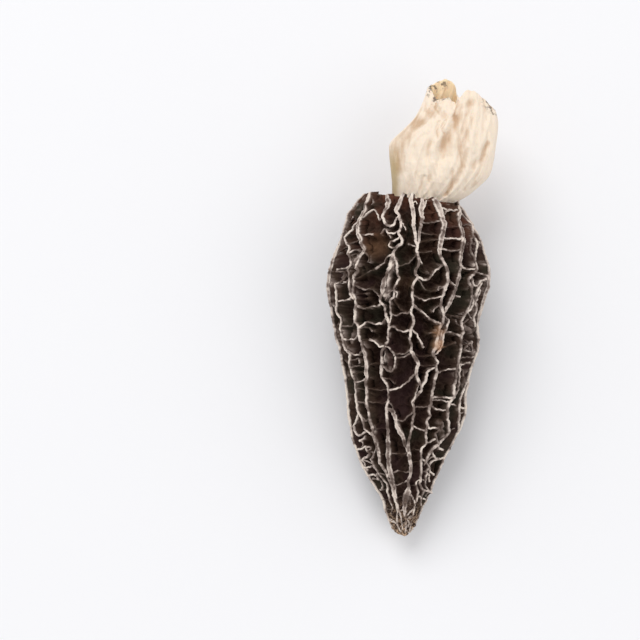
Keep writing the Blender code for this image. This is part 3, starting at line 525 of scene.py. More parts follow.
class MorelColours(bpy.types.PropertyGroup):
    """Colours of the flesh."""

    pit: bpy.props.FloatVectorProperty(
        name="Pit", description="Floor of the pits", subtype="COLOR", default=(0.021, 0.0092, 0.0052))
    wall: bpy.props.FloatVectorProperty(
        name="Pit Wall", description="Walls of the pits", subtype="COLOR", default=(0.064, 0.039, 0.027))
    flank: bpy.props.FloatVectorProperty(
        name="Ridge Flank", description="Upper sides of the ridges", subtype="COLOR",
        default=(0.235, 0.18, 0.156))
    crest: bpy.props.FloatVectorProperty(
        name="Crest", description="Pale edge of the ridges", subtype="COLOR", default=(0.74, 0.63, 0.56))
    # top of the crests' ramp: the palest crests by the rim, and painted highlight on crests at the outline
    fresh_and_highlight: bpy.props.FloatVectorProperty(
        name="Fresh Crest", description="Palest crests, by the rim", subtype="COLOR",
        default=(0.87, 0.77, 0.67))
    olive: bpy.props.FloatVectorProperty(
        name="Olive", description="Greenish patches in the pits", subtype="COLOR",
        default=(0.029, 0.029, 0.018))
    plum: bpy.props.FloatVectorProperty(
        name="Plum", description="Purple-brown patches in the pits", subtype="COLOR",
        default=(0.036, 0.016, 0.017))
    rim: bpy.props.FloatVectorProperty(
        name="Rim", description="Red-brown of the pits by the rim", subtype="COLOR",
        default=(0.125, 0.046, 0.027))
    rust: bpy.props.FloatVectorProperty(
        name="Rust", description="Rusty stain on one ridge", subtype="COLOR", default=(0.54, 0.29, 0.15))
    tip: bpy.props.FloatVectorProperty(
        name="Tip", description="Crumbly tip", subtype="COLOR", default=(0.64, 0.45, 0.31))
    stem: bpy.props.FloatVectorProperty(
        name="Stem", description="Crests of the stem's folds", subtype="COLOR", default=(0.93, 0.785, 0.64))
    # painted shade in the valleys of the stem's folds
    stem_fold: bpy.props.FloatVectorProperty(
        name="Stem Fold", description="Valleys of the stem's folds", subtype="COLOR",
        default=(0.62, 0.43, 0.28))
    stem_inside: bpy.props.FloatVectorProperty(
        name="Stem Inside", description="Inner face of the stem", subtype="COLOR",
        default=(1.0, 0.77, 0.505))
    # khaki tint and painted shade on the side of the neck that curves away
    stem_side_tint_and_shade: bpy.props.FloatVectorProperty(
        name="Stem Side", description="Khaki side of the neck", subtype="COLOR",
        default=(0.50, 0.38, 0.19))


class MorelStage(bpy.types.PropertyGroup):
    """Floor, light and camera."""

    floor_size: bpy.props.FloatProperty(
        name="Floor Size", description="Side of the square floor", default=3.0, unit="LENGTH")
    floor_colour: bpy.props.FloatVectorProperty(
        name="Floor Colour", description="Plain pale floor", subtype="COLOR", default=(0.90, 0.90, 0.92))
    key_power: bpy.props.FloatProperty(
        name="Key Power", description="Power of the main soft light", default=4.6, unit="POWER")
    fill_power: bpy.props.FloatProperty(
        name="Fill Power", description="Power of the second soft light", default=1.4, unit="POWER")
    sky_strength: bpy.props.FloatProperty(
        name="Sky Strength", description="Even light from all round", default=0.70)
    focal_length: bpy.props.FloatProperty(
        name="Focal Length", description="Long lens, in millimetres", default=160.0)


# Reading tables and lines

def read(table, at):
    """Value of a table of (at, value) points, straight between them and level past its ends."""
    if at <= table[0][0]:
        return table[0][1]
    for (low, first), (high, second) in zip(table, table[1:]):
        if at <= high:
            return first + (second - first) * (at - low) / (high - low)
    return table[-1][1]


def ease(value, low, high):
    """0 below low, 1 above high and smooth between them."""
    share = max(0.0, min(1.0, (value - low) / (high - low)))
    return share * share * (3.0 - 2.0 * share)


def curve_point(points, place):
    """Point of a smooth line through a list of points, place counting stretches from its start."""
    index = max(0, min(int(place), len(points) - 2))
    share = place - index
    before = points[max(0, index - 1)]
    first, second = points[index], points[index + 1]
    after = points[min(len(points) - 1, index + 2)]
    rise = (second - before) * 0.5
    fall = (after - first) * 0.5
    square = share * share
    cube = square * share
    return (
        first * (2.0 * cube - 3.0 * square + 1.0) + rise * (cube - 2.0 * square + share)
        + second * (3.0 * square - 2.0 * cube) + fall * (cube - square)
    )


def resample(points, step):
    """Points along a half smooth, half straight line through the given ones, a step apart or less."""
    found = []
    for index, (first, second) in enumerate(zip(points, points[1:])):
        parts = max(1, math.ceil((second - first).length / step))
        for part in range(parts):
            share = part / parts
            found.append(curve_point(points, index + share).lerp(first.lerp(second, share), 0.5))
    return found + [points[-1]]


def even_point(points, share):
    """Point at a share of the way through a table of pairs, each stretch taking the same share."""
    return curve_point([Vector(point) for point in points], share * (len(points) - 1))


def line_distance(point, line):
    """Distance from a point to the straight stretches between the given ones."""
    least = math.inf
    for first, second in zip(line, line[1:]):
        ahead = second - first
        share = max(0.0, min(1.0, (point - first).dot(ahead) / ahead.length_squared))
        least = min(least, (point - first - ahead * share).length)
    return least


# Cap's surface

def photo_place(column, row):
    """(along, side) of a pixel."""
    return (row - RIM_ROW) * MM_PER_PIXEL, (column - TIP_COLUMN) * MM_PER_PIXEL


LEFT_EDGE = tuple(photo_place(*pixel) for pixel in CAP_LEFT)
RIGHT_EDGE = tuple(photo_place(*pixel) for pixel in CAP_RIGHT)


def side_reach(along, sine):
    """Distance from the cap's axis to its outline on this side."""
    centre = read(CAP_CENTRE, along)
    if sine < 0.0:
        return centre - read(LEFT_EDGE, along)
    return read(RIGHT_EDGE, along) - centre


def rim_at(degrees):
    return RIM_MIDDLE + RIM_SLOPE * math.sin(math.radians(degrees))


def cap_point(along, degrees, sink=0.0):
    """Point this far under the crests: x to the right, y towards the stem, z towards the viewer."""
    sine = math.sin(math.radians(degrees))
    cosine = math.cos(math.radians(degrees))
    across = read(CAP_CENTRE, along) + (side_reach(along, sine) - sink) * sine
    return Vector((across, -along, (read(CAP_RADIUS, along) - sink) * CAP_FLATTENING * cosine))


def seen_point(column, row):
    """Point of the crests' surface that shows at this pixel, or just inside the outline."""
    along, side = photo_place(column, row)
    offset = side - read(CAP_CENTRE, along)
    share = offset / side_reach(along, offset)
    return cap_point(along, math.degrees(math.asin(max(-SEEN_EDGE, min(SEEN_EDGE, share)))))


def inwards(point):
    """Direction from a point of the cap straight to its axis."""
    return -Vector((point.x - read(CAP_CENTRE, -point.y), 0.0, point.z)).normalized()


# Net of ridges and ribs: each line is a list of stations

class Station:
    """One place of a crest: its point, how far under the others it lies, its half width and its paleness."""

    def __init__(self, point, drop, half_width, pale):
        self.point = point
        self.drop = drop
        self.half_width = half_width
        self.pale = pale


NET_STEP = 0.18
STILL_STATIONS = 4.0
SNAP_REACH = 0.95
TIP_END = 49.5
FIRST_RIB_KEY = 50

# Waves along a crest: (strength, how many to the millimetre, what is added to the key)
SWAY_WAVES = ((0.7, 0.7, 0), (0.9, 2.1, 0), (0.5, 4.3, 0))
PALE_WAVES = ((0.40, 0.8, 3), (0.18, 2.9, 5))
RIDGE_WIDTH_WAVES = ((0.34, 0.6, 0), (0.2, 2.1, 1))
RIDGE_DROP_WAVES = ((0.22, 0.7, 2), (0.12, 2.4, 2))
RIB_WIDTH_WAVES = ((0.4, 1.1, 0), (0.25, 2.8, 1))
RIB_DROP_WAVES = ((0.12, 2.4, 2),)
KEY_SHIFT = (7.3, 3.1, 1.7)

# Paleness of the crests: the usual one, and what is added by the rim, and a painted highlight added where the
# crests turn away at the outline
USUAL_PALE = 0.79
RIM_PALE = 0.19
RIM_PALE_END = (2.0, 9.0)
OUTLINE_HIGHLIGHT = 0.14
OUTLINE_HIGHLIGHT_FROM = (0.85, 0.96)

# Ridges: how far they lie under the others, also where one begins at the rim, and how thin they get at their
# ends and by the tip
RIDGE_DROP = 0.154
EVEN_TIP = 6.0
RIM_START = 2.5
RIM_DIP = 0.2
RIM_DIP_LENGTH = 1.0
DULLEST_RIDGE = 0.5
END_WIDTH = 0.55
TAPER = 1.2
TIP_THINNING = 0.35
TIP_THINNING_FROM = (43.5, 47.5)

# Ribs: sway beside a ridge's, how far they hang in their middle and how wide and clear they are, from weak to
# strong ones
RIB_SWAY = 0.9
RIB_DROP = 0.22
RIB_HANG = 1.25
STRONG_HANG_LESS = 0.85
LEAST_HANG = 0.12
FAINT_PALE = 0.42
CLEAR_FROM = (0.45, 1.15)
RIB_WIDTHS = (0.45, 0.6, 1.4)
FOOT_WIDTH = 1.5
HANG_WIDTH_LESS = 0.6
FOOT_PALE = 0.9
DULLEST_RIB = 0.3


def wavy(point, fineness, key):
    """A steady wave between about -0.7 and 0.7, so many to the millimetre, its own for each key."""
    return noise.noise(point * fineness + Vector([key * part for part in KEY_SHIFT]))


def waves(point, table, key):
    """Sum of a table's waves."""
    return sum(strength * wavy(point, fineness, key + more) for strength, fineness, more in table)


def swayed(points, sway, key):
    """The line with a seeded sideways wander, still at its two ends."""
    found = []
    for index, point in enumerate(points):
        ahead = points[min(index + 1, len(points) - 1)] - points[max(index - 1, 0)]
        side = ahead.cross(inwards(point)).normalized()
        still = min(1.0, index / STILL_STATIONS, (len(points) - 1 - index) / STILL_STATIONS)
        found.append(point + side * (waves(point, SWAY_WAVES, key) * sway * still))
    return found


def patchy_pale(point, key):
    """Paleness of a crest here, bright and dull by turns, paler by the rim and with a painted highlight at
    the outline.
    """
    fresh_and_highlight = RIM_PALE * (1.0 - ease(-point.y, *RIM_PALE_END))
    # painted highlight on the crests where the cap turns away at the outline
    fresh_and_highlight += OUTLINE_HIGHLIGHT * ease(abs(inwards(point).x), *OUTLINE_HIGHLIGHT_FROM)
    return USUAL_PALE + fresh_and_highlight + waves(point, PALE_WAVES, key)


def ridge_line(points, widths, cap, key):
    """Stations of a long ridge."""
    line = swayed(resample(points, NET_STEP), cap.waviness / MM, key)
    table = widths if isinstance(widths, tuple) else ((RIM_ROW, widths),)
    stations = []
    for index, point in enumerate(line):
        along = -point.y
        ends = min(index, len(line) - 1 - index) * NET_STEP
        width = read(table, RIM_ROW + along / MM_PER_PIXEL) * MM_PER_PIXEL * cap.crest_share
        half_width = width / 2 * (1.0 + waves(point, RIDGE_WIDTH_WAVES, key))
        half_width *= END_WIDTH + (1.0 - END_WIDTH) * min(1.0, ends / TAPER)
        half_width *= 1.0 - TIP_THINNING * ease(along, *TIP_THINNING_FROM)
        drop = RIDGE_DROP + waves(point, RIDGE_DROP_WAVES, key)
        drop *= ease(CAP_LENGTH - along, 0.0, EVEN_TIP)
        if -points[0].y < RIM_START:
            drop += RIM_DIP * (1.0 - ease(index * NET_STEP, 0.0, RIM_DIP_LENGTH))
        pale = max(DULLEST_RIDGE, min(1.0, patchy_pale(point, key)))
        stations.append(Station(point, max(0.0, drop), half_width, pale))
    return stations


def snapped(points, ridges):
    """The rib's points with each end that lies by a ridge brought onto it."""
    found = list(points)
    for end in (0, -1):
        nearest = min(
            (station.point for line in ridges for station in line),
            key=lambda place: (place - points[end]).length_squared,
        )
        if (nearest - points[end]).length < SNAP_REACH:
            found[end] = nearest
    return found


def rib_line(points, broad, cap, key):
    """Stations of a cross rib: lower in its middle, and the fainter the lower."""
    line = swayed(resample(points, NET_STEP), cap.waviness / MM * RIB_SWAY, key)
    lowest = max(LEAST_HANG, RIB_HANG - STRONG_HANG_LESS * broad)
    clear = FAINT_PALE + (1.0 - FAINT_PALE) * ease(broad, *CLEAR_FROM)
    least, more, most = RIB_WIDTHS
    widest = cap.rib_width / MM / 2 * min(most, least + more * broad)
    stations = []
    for index, point in enumerate(line):
        hang = math.sin(math.pi * index / (len(line) - 1))
        patchy = 1.0 + waves(point, RIB_WIDTH_WAVES, key)
        half_width = widest * patchy * (FOOT_WIDTH - HANG_WIDTH_LESS * hang)
        shown = clear + (FOOT_PALE - clear) * 0.5 * (1.0 - hang)
        pale = max(DULLEST_RIB, min(1.0, patchy_pale(point, key) * shown))
        drop = RIB_DROP + lowest * hang + waves(point, RIB_DROP_WAVES, key)
        stations.append(Station(point, drop, half_width, pale))
    return stations


def back_ridges(draw):
    """(along, angle) points of the hidden side's ridges."""
    ridges = {}
    for name, (belly, tip, _, end) in BACK_RIDGES.items():
        start = rim_at(belly)
        count = round((end - start) / BACK_STEP)
        points = []
        for index in range(count + 1):
            along = start + (end - start) * index / count
            spread = max(0.0, (along - BACK_SPREAD_FROM) / (NET_END - BACK_SPREAD_FROM))
            wander = BACK_WANDER * draw.uniform(-1.0, 1.0) if 0 < index < count else 0.0
            points.append((along, belly + (tip - belly) * spread + wander))
        ridges[name] = points
    for name, (_, _, ends_on, end) in BACK_RIDGES.items():
        if ends_on:
            ridges[name][-1] = (end, read(ridges[ends_on], end))
        else:
            ridges[name].append((TIP_END, ridges[name][-1][1]))
    return ridges


def back_ribs(ridges, draw):
    """Ribs between each two neighbours of the hidden side, as (along, angle) points."""
    names = ["R9", *BACK_RIDGES, "L0"]
    found = []
    for left, right in zip(names, names[1:]):
        start = max(ridges[left][0][0], ridges[right][0][0]) + RIM_SIDE_RIBS
        end = min(ridges[left][-1][0], ridges[right][-1][0]) - TIP_SIDE_RIBS
        along = start
        while along < end:
            slant = draw.uniform(-RIB_SLANT, RIB_SLANT)
            first = (along - slant, read(ridges[left], along - slant))
            last = (along + slant, read(ridges[right], along + slant))
            middle = (along + draw.uniform(*RIB_SAG), (first[1] + last[1]) / 2)
            found.append((draw.uniform(*RIB_WIDTH), (first, middle, last)))
            narrow = min(1.0, NARROW_GAP + NARROW_GAP_RISE * read(CAP_RADIUS, along))
            along += draw.uniform(*RIB_GAP) * narrow
    return found


def draw_net(cap):
    """(ridge lines, rib lines) of the whole cap."""
    draw = random.Random(cap.seed)
    ridges = []
    ribs = []
    turned = {name: points for name, (_, points) in EDGE_RIDGES.items()}
    turned["L0"] = tuple((along, degrees + 360.0) for along, degrees in turned["L0"])
    hidden = back_ridges(draw)
    turned.update(hidden)
    for widths, points in FRONT_RIDGES:
        ridges.append(ridge_line([seen_point(*pixel) for pixel in points], widths, cap, len(ridges)))
    for widths, points in EDGE_RIDGES.values():
        whole = points + ((TIP_END, points[-1][1]),)
        ridges.append(ridge_line([cap_point(*place) for place in whole], widths, cap, len(ridges)))
    for points in hidden.values():
        ridges.append(ridge_line([cap_point(*place) for place in points], BACK_WIDTHS, cap, len(ridges)))
    crossing = [(broad, [seen_point(*pixel) for pixel in points]) for broad, points in FRONT_RIBS]
    unseen = FLANK_RIBS + tuple(back_ribs(turned, draw))
    crossing += [(broad, [cap_point(*place) for place in points]) for broad, points in unseen]
    for key, (broad, points) in enumerate(crossing):
        ribs.append(rib_line(snapped(points, ridges), broad, cap, key + FIRST_RIB_KEY))
    return ridges, ribs


# Shapes

def lying_frame():
    """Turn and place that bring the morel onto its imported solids, tip on tip."""
    belly = read(CAP_RADIUS, BELLY_STATION) * CAP_FLATTENING
    low = read(CAP_RADIUS, LOW_STATION) * CAP_FLATTENING
    lean = Matrix.Rotation(math.atan2(belly - low, LOW_STATION - BELLY_STATION), 4, "X")
    solid_tip = min((vert.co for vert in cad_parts["cap"].data.vertices), key=lambda place: place.y)
    tip = Vector((read(CAP_CENTRE, CAP_LENGTH), -CAP_LENGTH, 0.0))
    return Matrix.Translation(solid_tip / MM - lean @ tip) @ lean


def grid_rows(bm, columns, rows, spot):
    """A grid whose points spot(column, row) places, each row closed on itself. Returns its rows of verts."""
    made = bmesh.ops.create_grid(bm, x_segments=columns, y_segments=rows, size=1.0)["verts"]
    wide = columns + 1
    lines = [made[row * wide:(row + 1) * wide] for row in range(rows + 1)]
    for row, line in enumerate(lines):
        for column, vert in enumerate(line):
            vert.co = spot(column % columns, row)
    return lines


def close_grid(bm, lines, join_ends=False):
    """Joins the first and last column, and then the first and last row, or gives each open end a face."""
    pairs = {line[-1]: line[0] for line in lines}
    if join_ends:
        pairs.update(zip(lines[-1][:-1], lines[0][:-1]))
        pairs[lines[-1][-1]] = lines[0][0]
    bmesh.ops.weld_verts(bm, targetmap=pairs)
    if not join_ends:
        ends = [edge for edge in bm.edges if edge.is_boundary]
        bmesh.ops.holes_fill(bm, edges=ends, sides=0)


def press_onto_ground(bm):
    """Flattens what would stand below the ground."""
    for vert in bm.verts:
        vert.co.z = max(vert.co.z, 0.0)


def finish_piece(name, bm, material, slot, *nodes):
    """Turns a bmesh in the morel's own millimetres into a piece in the row frame."""
    bmesh.ops.transform(bm, matrix=lying_frame(), verts=bm.verts)
    press_onto_ground(bm)
    bmesh.ops.scale(bm, vec=Vector((MM, MM, MM)), verts=bm.verts)
    bmesh.ops.recalc_face_normals(bm, faces=bm.faces)
    mesh = bpy.data.meshes.new(name)
    bm.to_mesh(mesh)
    bm.free()
    mesh.shade_smooth()
    mesh.materials.append(material)
    piece = bpy.data.objects.new(name, mesh)
    bpy.context.scene.collection.objects.link(piece)
    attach(piece, "root")
    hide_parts(*nodes)
    return piece


# Profile of a crest: how far to the side in half widths, how far down in millimetres, and paleness
RIGHT_PROFILE = (
    (0.33, 0.02, 0.98), (0.72, 0.0, 1.0), (1.0, 0.17, 0.84), (0.85, 0.42, 0.52), (0.95, 0.85, 0.30),
    (1.7, 1.5, 0.05),
)
CREST_PROFILE = tuple((-across, *rest) for across, *rest in reversed(RIGHT_PROFILE)) + RIGHT_PROFILE
LEAST_FOOT = 0.22
DISH_FROM = 0.17
DISH_OVER = 0.16
DISH_DEPTH = 0.1
DISH_DULLNESS = 0.2
DISHED_PART = 0.5
CRUMPLE = 0.06
DEEP_FOOT = 1.0
LEAN = 0.4
LEAN_FINENESS = 0.55
CRUMPLE_FINENESS = 3.1
SAG_FINENESS = 3.7
CREST_KEY_STEP = 1.7

# At the outline a crest's foot turns under, away from the viewer
EDGE_TURN = 0.7
EDGE_TURN_FROM = (0.85, 0.97)
EDGE_TURN_FACING = (-0.1, 0.1)


def sweep_crest(bm, height, line, key):
    """A thin blade along a line, wider at its foot. A broad one has a dished crest between two edges."""
    sides = len(CREST_PROFILE)
    points = [station.point for station in line]
    sections = []
    for index, station in enumerate(line):
        ahead = points[min(index + 1, len(points) - 1)] - points[max(index - 1, 0)]
        down = inwards(station.point)
        down.z -= EDGE_TURN * ease(abs(down.x), *EDGE_TURN_FROM) * ease(-down.z, *EDGE_TURN_FACING)
        down.normalize()
        side = ahead.cross(down).normalized()
        lean = LEAN * wavy(station.point, LEAN_FINENESS, key)
        dish = max(0.0, min(1.0, (station.half_width - DISH_FROM) / DISH_OVER))
        section = []
        for across, depth, pale in CREST_PROFILE:
            reach = across * station.half_width
            if depth > DEEP_FOOT:
                reach = math.copysign(max(abs(reach), LEAST_FOOT), across)
            tone = pale * station.pale
            if abs(across) < DISHED_PART:
                depth += DISH_DEPTH * dish
                tone *= 1.0 - DISH_DULLNESS * dish
            place = station.point + side * reach + down * depth
            crumple = CRUMPLE * wavy(place, CRUMPLE_FINENESS, 1.0)
            sag = CRUMPLE * wavy(place, SAG_FINENESS, 2.0)
            section.append((place + side * (lean * depth + crumple) + down * (station.drop + sag), tone))
        sections.append(section)
    lines = grid_rows(bm, sides, len(line) - 1, lambda column, row: sections[row][column][0])
    for row, verts in enumerate(lines):
        for column, vert in enumerate(verts):
            vert[height] = sections[row][column % sides][1]
    return lines


def build_crests(name, lines, material):
    bm = bmesh.new()
    height = bm.verts.layers.float.new("height")
    rust = bm.verts.layers.float.new("rust")
    rows = []
    for key, line in enumerate(lines):
        rows += sweep_crest(bm, height, line, key * CREST_KEY_STEP)
    close_grid(bm, rows)
    for vert in bm.verts:
        vert[rust] = rust_at(vert.co)
    return finish_piece(name, bm, material, "cap_flesh", "cap")


# Rusty and warm brown patches: pixel, reach in millimetres and strength
RUST_SPOTS = (
    ((436.0, 331.0), 1.5, 0.6), ((437.0, 345.0), 1.4, 0.9), ((376.0, 246.0), 2.6, 0.42),
    ((404.0, 284.0), 2.0, 0.12),
)
RUST_PLACES = tuple((seen_point(*pixel), reach, strength) for pixel, reach, strength in RUST_SPOTS)
RUST_DEPTH_SHARE = 0.5
RUST_CORE = 0.3


def rust_at(point):
    """How rusty the flesh is at this point."""
    most = 0.0
    for spot, reach, strength in RUST_PLACES:
        apart = Vector((point.x - spot.x, point.y - spot.y, (point.z - spot.z) * RUST_DEPTH_SHARE)).length
        most = max(most, strength * (1.0 - ease(apart, RUST_CORE, reach)))
    return most


# The flesh's grid: VIEWER_SHARE of its columns lie within VIEWER_REACH degrees of the viewer's side
FLESH_COLUMNS = 300
FLESH_ROWS = 300
VIEWER_REACH = 100.0
VIEWER_SHARE = 0.66
ROUNDED_ROWS = 3

# Pits: how deep they may get, by the rim and elsewhere, and how steeply they fall beside a crest
RIM_PIT_SHARE = 0.4
RIM_PIT_REACH = 12.0
LEAST_PIT = 0.35
PIT_OF_RADIUS = 0.31
PIT_OF_RADIUS_LESS = 0.2
BEAD = 0.3
BEAD_OF_PIT = 0.5
CREST_FOOT = 0.1
PIT_STEEPNESS = 2.4

# Their floors: veins, bumps and wrinkles that run round the cap, and the tip's crumbs
VEIN_BEND = 0.5
VEIN_BEND_FINENESS = 0.8
VEIN_BEND_KEYS = (1, 2, 3)
VEIN_SCALE = 0.9
VEIN_FINENESS = (0.8, 1.5, 0.8)
VEIN_EDGE = (0.02, 0.26)
BUMP_HEIGHT = 0.18
BUMP_FINENESS = 1.3
BUMP_FRACTAL = (0.9, 2.1, 3)
WRINKLE_HEIGHT = 0.22
WRINKLE_FINENESS = (0.5, 1.9, 0.5)
CRUMBLY_TIP = (44.0, 48.0)
CRUMB_HEIGHT = 0.8
CRUMB_FINENESS = 1.9
CRUMB_RAISE = 0.22

# Raised faces: how far under the crests they lie, and how uneven they are
WEB_REACH = (0.5, 1.3)
WEB_SINK = 0.32
WEB_BUMP = 0.35
WEB_BUMP_FINENESS = 2.1
WEB_PALE_CHANGE = 0.4
WEB_PALE_FINENESS = 1.7

# The flesh's paleness: high up, on veins, lower down the cap, inside and at the rim's edge
HIGH_PALE = 0.74
HIGH_PALE_POWER = 1.6
HIGH_PALE_SHARE = (0.8, 0.7)
HIGH_PALE_FINENESS = 1.1
LEAST_ROOM = 0.8
VEIN_PALE = 0.2
LOWER_DULLNESS = 0.3
LOWER_PART = (26.0, 34.0)
INSIDE_PALE = 0.1
RIM_EDGE_PALE = 0.6
RIM_EDGE_USUAL = 0.7
RIM_EDGE_SHARE = 0.008
RIM_EDGE_FINENESS = 0.9

# The rim's edge sinks between its ridges, and is rounded
SCALLOP = 0.16
SCALLOP_SHARE = 0.04
RIM_ROUNDING = 0.35


def nearest_crest(lines):
    """A tree of the net's stations, and the list it counts in."""
    stations = [station for line in lines for station in line]
    tree = kdtree.KDTree(len(stations))
    for index, station in enumerate(stations):
        tree.insert(station.point, index)
    tree.balance()
    return tree, stations


def pit_room(along, cap):
    """Depth of a wide pit at this place."""
    by_rim = min(1.0, RIM_PIT_SHARE + along / RIM_PIT_REACH)
    by_size = PIT_OF_RADIUS * read(CAP_RADIUS, along) - PIT_OF_RADIUS_LESS
    return max(LEAST_PIT, min(cap.pit_depth / MM * by_rim, by_size))


def web_share(point, webs):
    """1 on a raised face between ridges and 0 away from it, with that face's paleness."""
    found = 0.0, 0.0
    for first, second, reach, pale in webs:
        apart = line_distance(point, (first, second)) / reach
        found = max(found, (1.0 - ease(apart, *WEB_REACH), pale))
    return found


def stretched(point, fineness):
    """The point with each coordinate times its own fineness."""
    return Vector([part * share for part, share in zip(point, fineness)])


def veins(point):
    """0 to 1: thin raised veins between the cells of a pit's floor."""
    bend = Vector([wavy(point, VEIN_BEND_FINENESS, key) for key in VEIN_BEND_KEYS]) * VEIN_BEND
    crooked = point * VEIN_SCALE + bend
    distances = noise.voronoi(stretched(crooked, VEIN_FINENESS))[0]
    return 1.0 - ease(distances[1] - distances[0], *VEIN_EDGE)


def flesh_turn(column):
    """Angle of a column of the flesh, closer together on the side that faces the viewer."""
    share = column / FLESH_COLUMNS
    if share < VIEWER_SHARE:
        return VIEWER_REACH * (2.0 * share / VIEWER_SHARE - 1.0)
    return VIEWER_REACH + (360.0 - 2.0 * VIEWER_REACH) * (share - VIEWER_SHARE) / (1.0 - VIEWER_SHARE)


def flesh_sink(point, cap, net):
    """How deep the flesh lies under the crests here, and how pale it is."""
    tree, stations, webs = net
    _, index, apart = tree.find(point)
    drop = stations[index].drop
    room = pit_room(-point.y, cap)
    bead = min(BEAD, BEAD_OF_PIT * room)
    fall = 1.0 - math.exp(-PIT_STEEPNESS * max(0.0, apart - CREST_FOOT))
    sink = drop + bead + max(0.0, room - drop - bead) * fall
    near_tip = ease(-point.y, *CRUMBLY_TIP)
    veined = veins(point) * (1.0 - near_tip)
    sink -= veined * fall * cap.wrinkle / MM
    sink += fall * BUMP_HEIGHT * noise.fractal(point * BUMP_FINENESS, *BUMP_FRACTAL)
    sink -= fall * WRINKLE_HEIGHT * abs(noise.noise(stretched(point, WRINKLE_FINENESS)))
    sink -= near_tip * (CRUMB_HEIGHT * abs(noise.noise(point * CRUMB_FINENESS)) - CRUMB_RAISE)
    web, web_pale = web_share(point, webs)
    sink += (WEB_SINK + drop + WEB_BUMP * noise.noise(point * WEB_BUMP_FINENESS) - sink) * web
    deep = min(1.0, sink / max(room, LEAST_ROOM))
    usual, change = HIGH_PALE_SHARE
    patchy = usual + change * noise.noise(point * HIGH_PALE_FINENESS)
    pale = HIGH_PALE * (1.0 - deep) ** HIGH_PALE_POWER * patchy + VEIN_PALE * veined
    pale *= 1.0 - LOWER_DULLNESS * ease(-point.y, *LOWER_PART) * (1.0 - near_tip)
    pale += (web_pale + WEB_PALE_CHANGE * noise.noise(point * WEB_PALE_FINENESS) - pale) * web
    return sink, deep, max(0.0, pale)


def ring_point(centre, ring, degrees):
    """Point of a ring of the opening or the hollow."""
    along, half_width, half_depth = ring
    turn = math.radians(degrees)
    return Vector((centre + half_width * math.sin(turn), -along, half_depth * math.cos(turn)))


def build_flesh(cap, material):
    ridges, ribs = draw_net(cap)
    tree, stations = nearest_crest(ridges + ribs)
    webs = [(seen_point(*first), seen_point(*second), reach, pale) for first, second, reach, pale in WEBS]
    net = tree, stations, webs
    rings = [(OPENING_CENTRE, ring) for ring in OPENING] + [(HOLLOW_CENTRE, ring) for ring in HOLLOW]
    inner_rows = len(rings) + ROUNDED_ROWS
    bm = bmesh.new()
    height = bm.verts.layers.float.new("height")
    rust = bm.verts.layers.float.new("rust")
    tones = {}

    def outside(degrees, share):
        rim = rim_at(degrees)
        along = rim + (CAP_LENGTH - rim) * share
        crest = cap_point(along, degrees)
        sink, deep, pale = flesh_sink(crest, cap, net)
        scallop = SCALLOP * (1.0 - ease(share, 0.0, SCALLOP_SHARE)) * deep
        edge_pale = RIM_EDGE_PALE * (1.0 - ease(share, 0.0, RIM_EDGE_SHARE))
        pale = max(pale, edge_pale * (RIM_EDGE_USUAL + wavy(crest, RIM_EDGE_FINENESS, 2)))
        return cap_point(along + scallop, degrees, sink), pale

    def spot(column, row):
        degrees = flesh_turn(column)
        if row >= inner_rows:
            place, pale = outside(degrees, (row - inner_rows) / FLESH_ROWS)
        else:
            place, pale = inside(degrees, row), INSIDE_PALE
        tones[column, row] = pale
        return place

    def inside(degrees, row):
        if row < len(rings):
            return ring_point(*rings[len(rings) - 1 - row], degrees)
        rim, _ = outside(degrees, 0.0)
        share = (row - len(rings) + 1) / (ROUNDED_ROWS + 1)
        rounded = ring_point(*rings[0], degrees).lerp(rim, share)
        rounded.y += RIM_ROUNDING * math.sin(math.pi * share)
        return rounded

    lines = grid_rows(bm, FLESH_COLUMNS, FLESH_ROWS + inner_rows, spot)
    for row, verts in enumerate(lines):
        for column, vert in enumerate(verts):
            vert[height] = tones[column % FLESH_COLUMNS, row]
            vert[rust] = rust_at(vert.co)
    close_grid(bm, lines)
    return finish_piece("cap_flesh_pits", bm, material, "cap_flesh", "cap")


# Stem

STEM_COLUMNS = 320
STEM_OUTER_ROWS = 190
STEM_INNER_ROWS = 60

# Marks: how crooked their lines run, and how far they reach and fade in shares of their own reach
MARK_SWAY = 0.25
MARK_SWAY_FINENESS = 0.9
MARK_SWAY_SHIFT = 4.0
MARK_REACH = (0.1, 1.6)
UPPER_SIDE = (0.0, 0.4)

# Long folds, broad and narrow: (share, sharpness, fineness round the stem, fineness up it, shift)
STEM_FOLDS = ((0.6, 4.0, 2.2, 1.1, 0.0), (0.4, 3.0, 5.5, 2.2, 7.0))
FOLDS_BEGIN = (0.0, 0.3)

# Fine creases, then the torn end: its lip, its slight curl and its ragged edge
CREASE_FINENESS = (1.5, 0.45)
CREASE_FRACTAL = (0.8, 2.2, 4)
CREASE_SCALE = 0.9
CREASE_STRENGTH = 1.6
TEAR_POWER = 3
NEAR_SIDE = (-0.1, 0.35)
LIP_EDGE = (0.65, 1.1)
LIP_POWER = 6
CURL = 0.2
CURL_FROM = (0.86, 1.0)
RAGGED = 0.25
RAGGED_FINENESS = 1.9
RAGGED_SHIFT = 3.0
RAGGED_FROM = (0.8, 1.0)

# What the finish reads: painted shade in the folds' valleys with paler crests, the marks' tint (partly
# painted shade and highlight), the khaki side of the neck with painted shade, and soil by its lines
FOLD_TONE = (0.5, 0.25, 0.35)
# where the khaki tint and painted shade lie along the neck's left side
NECK_ACROSS = (0.03, 0.14)
NECK_UP = (0.3, 0.6)
SOIL_REACH = (0.3, 1.1)


def placed(pixels):
    """Pixels as (along, side) points."""
    return [Vector(photo_place(*pixel)) for pixel in pixels]


STEM_LINES = tuple((height, reach, tint, placed(pixels)) for height, reach, tint, pixels in STEM_MARKS)
SOIL_LINES = placed(MOUTH_SOIL), placed(EDGE_SOIL)


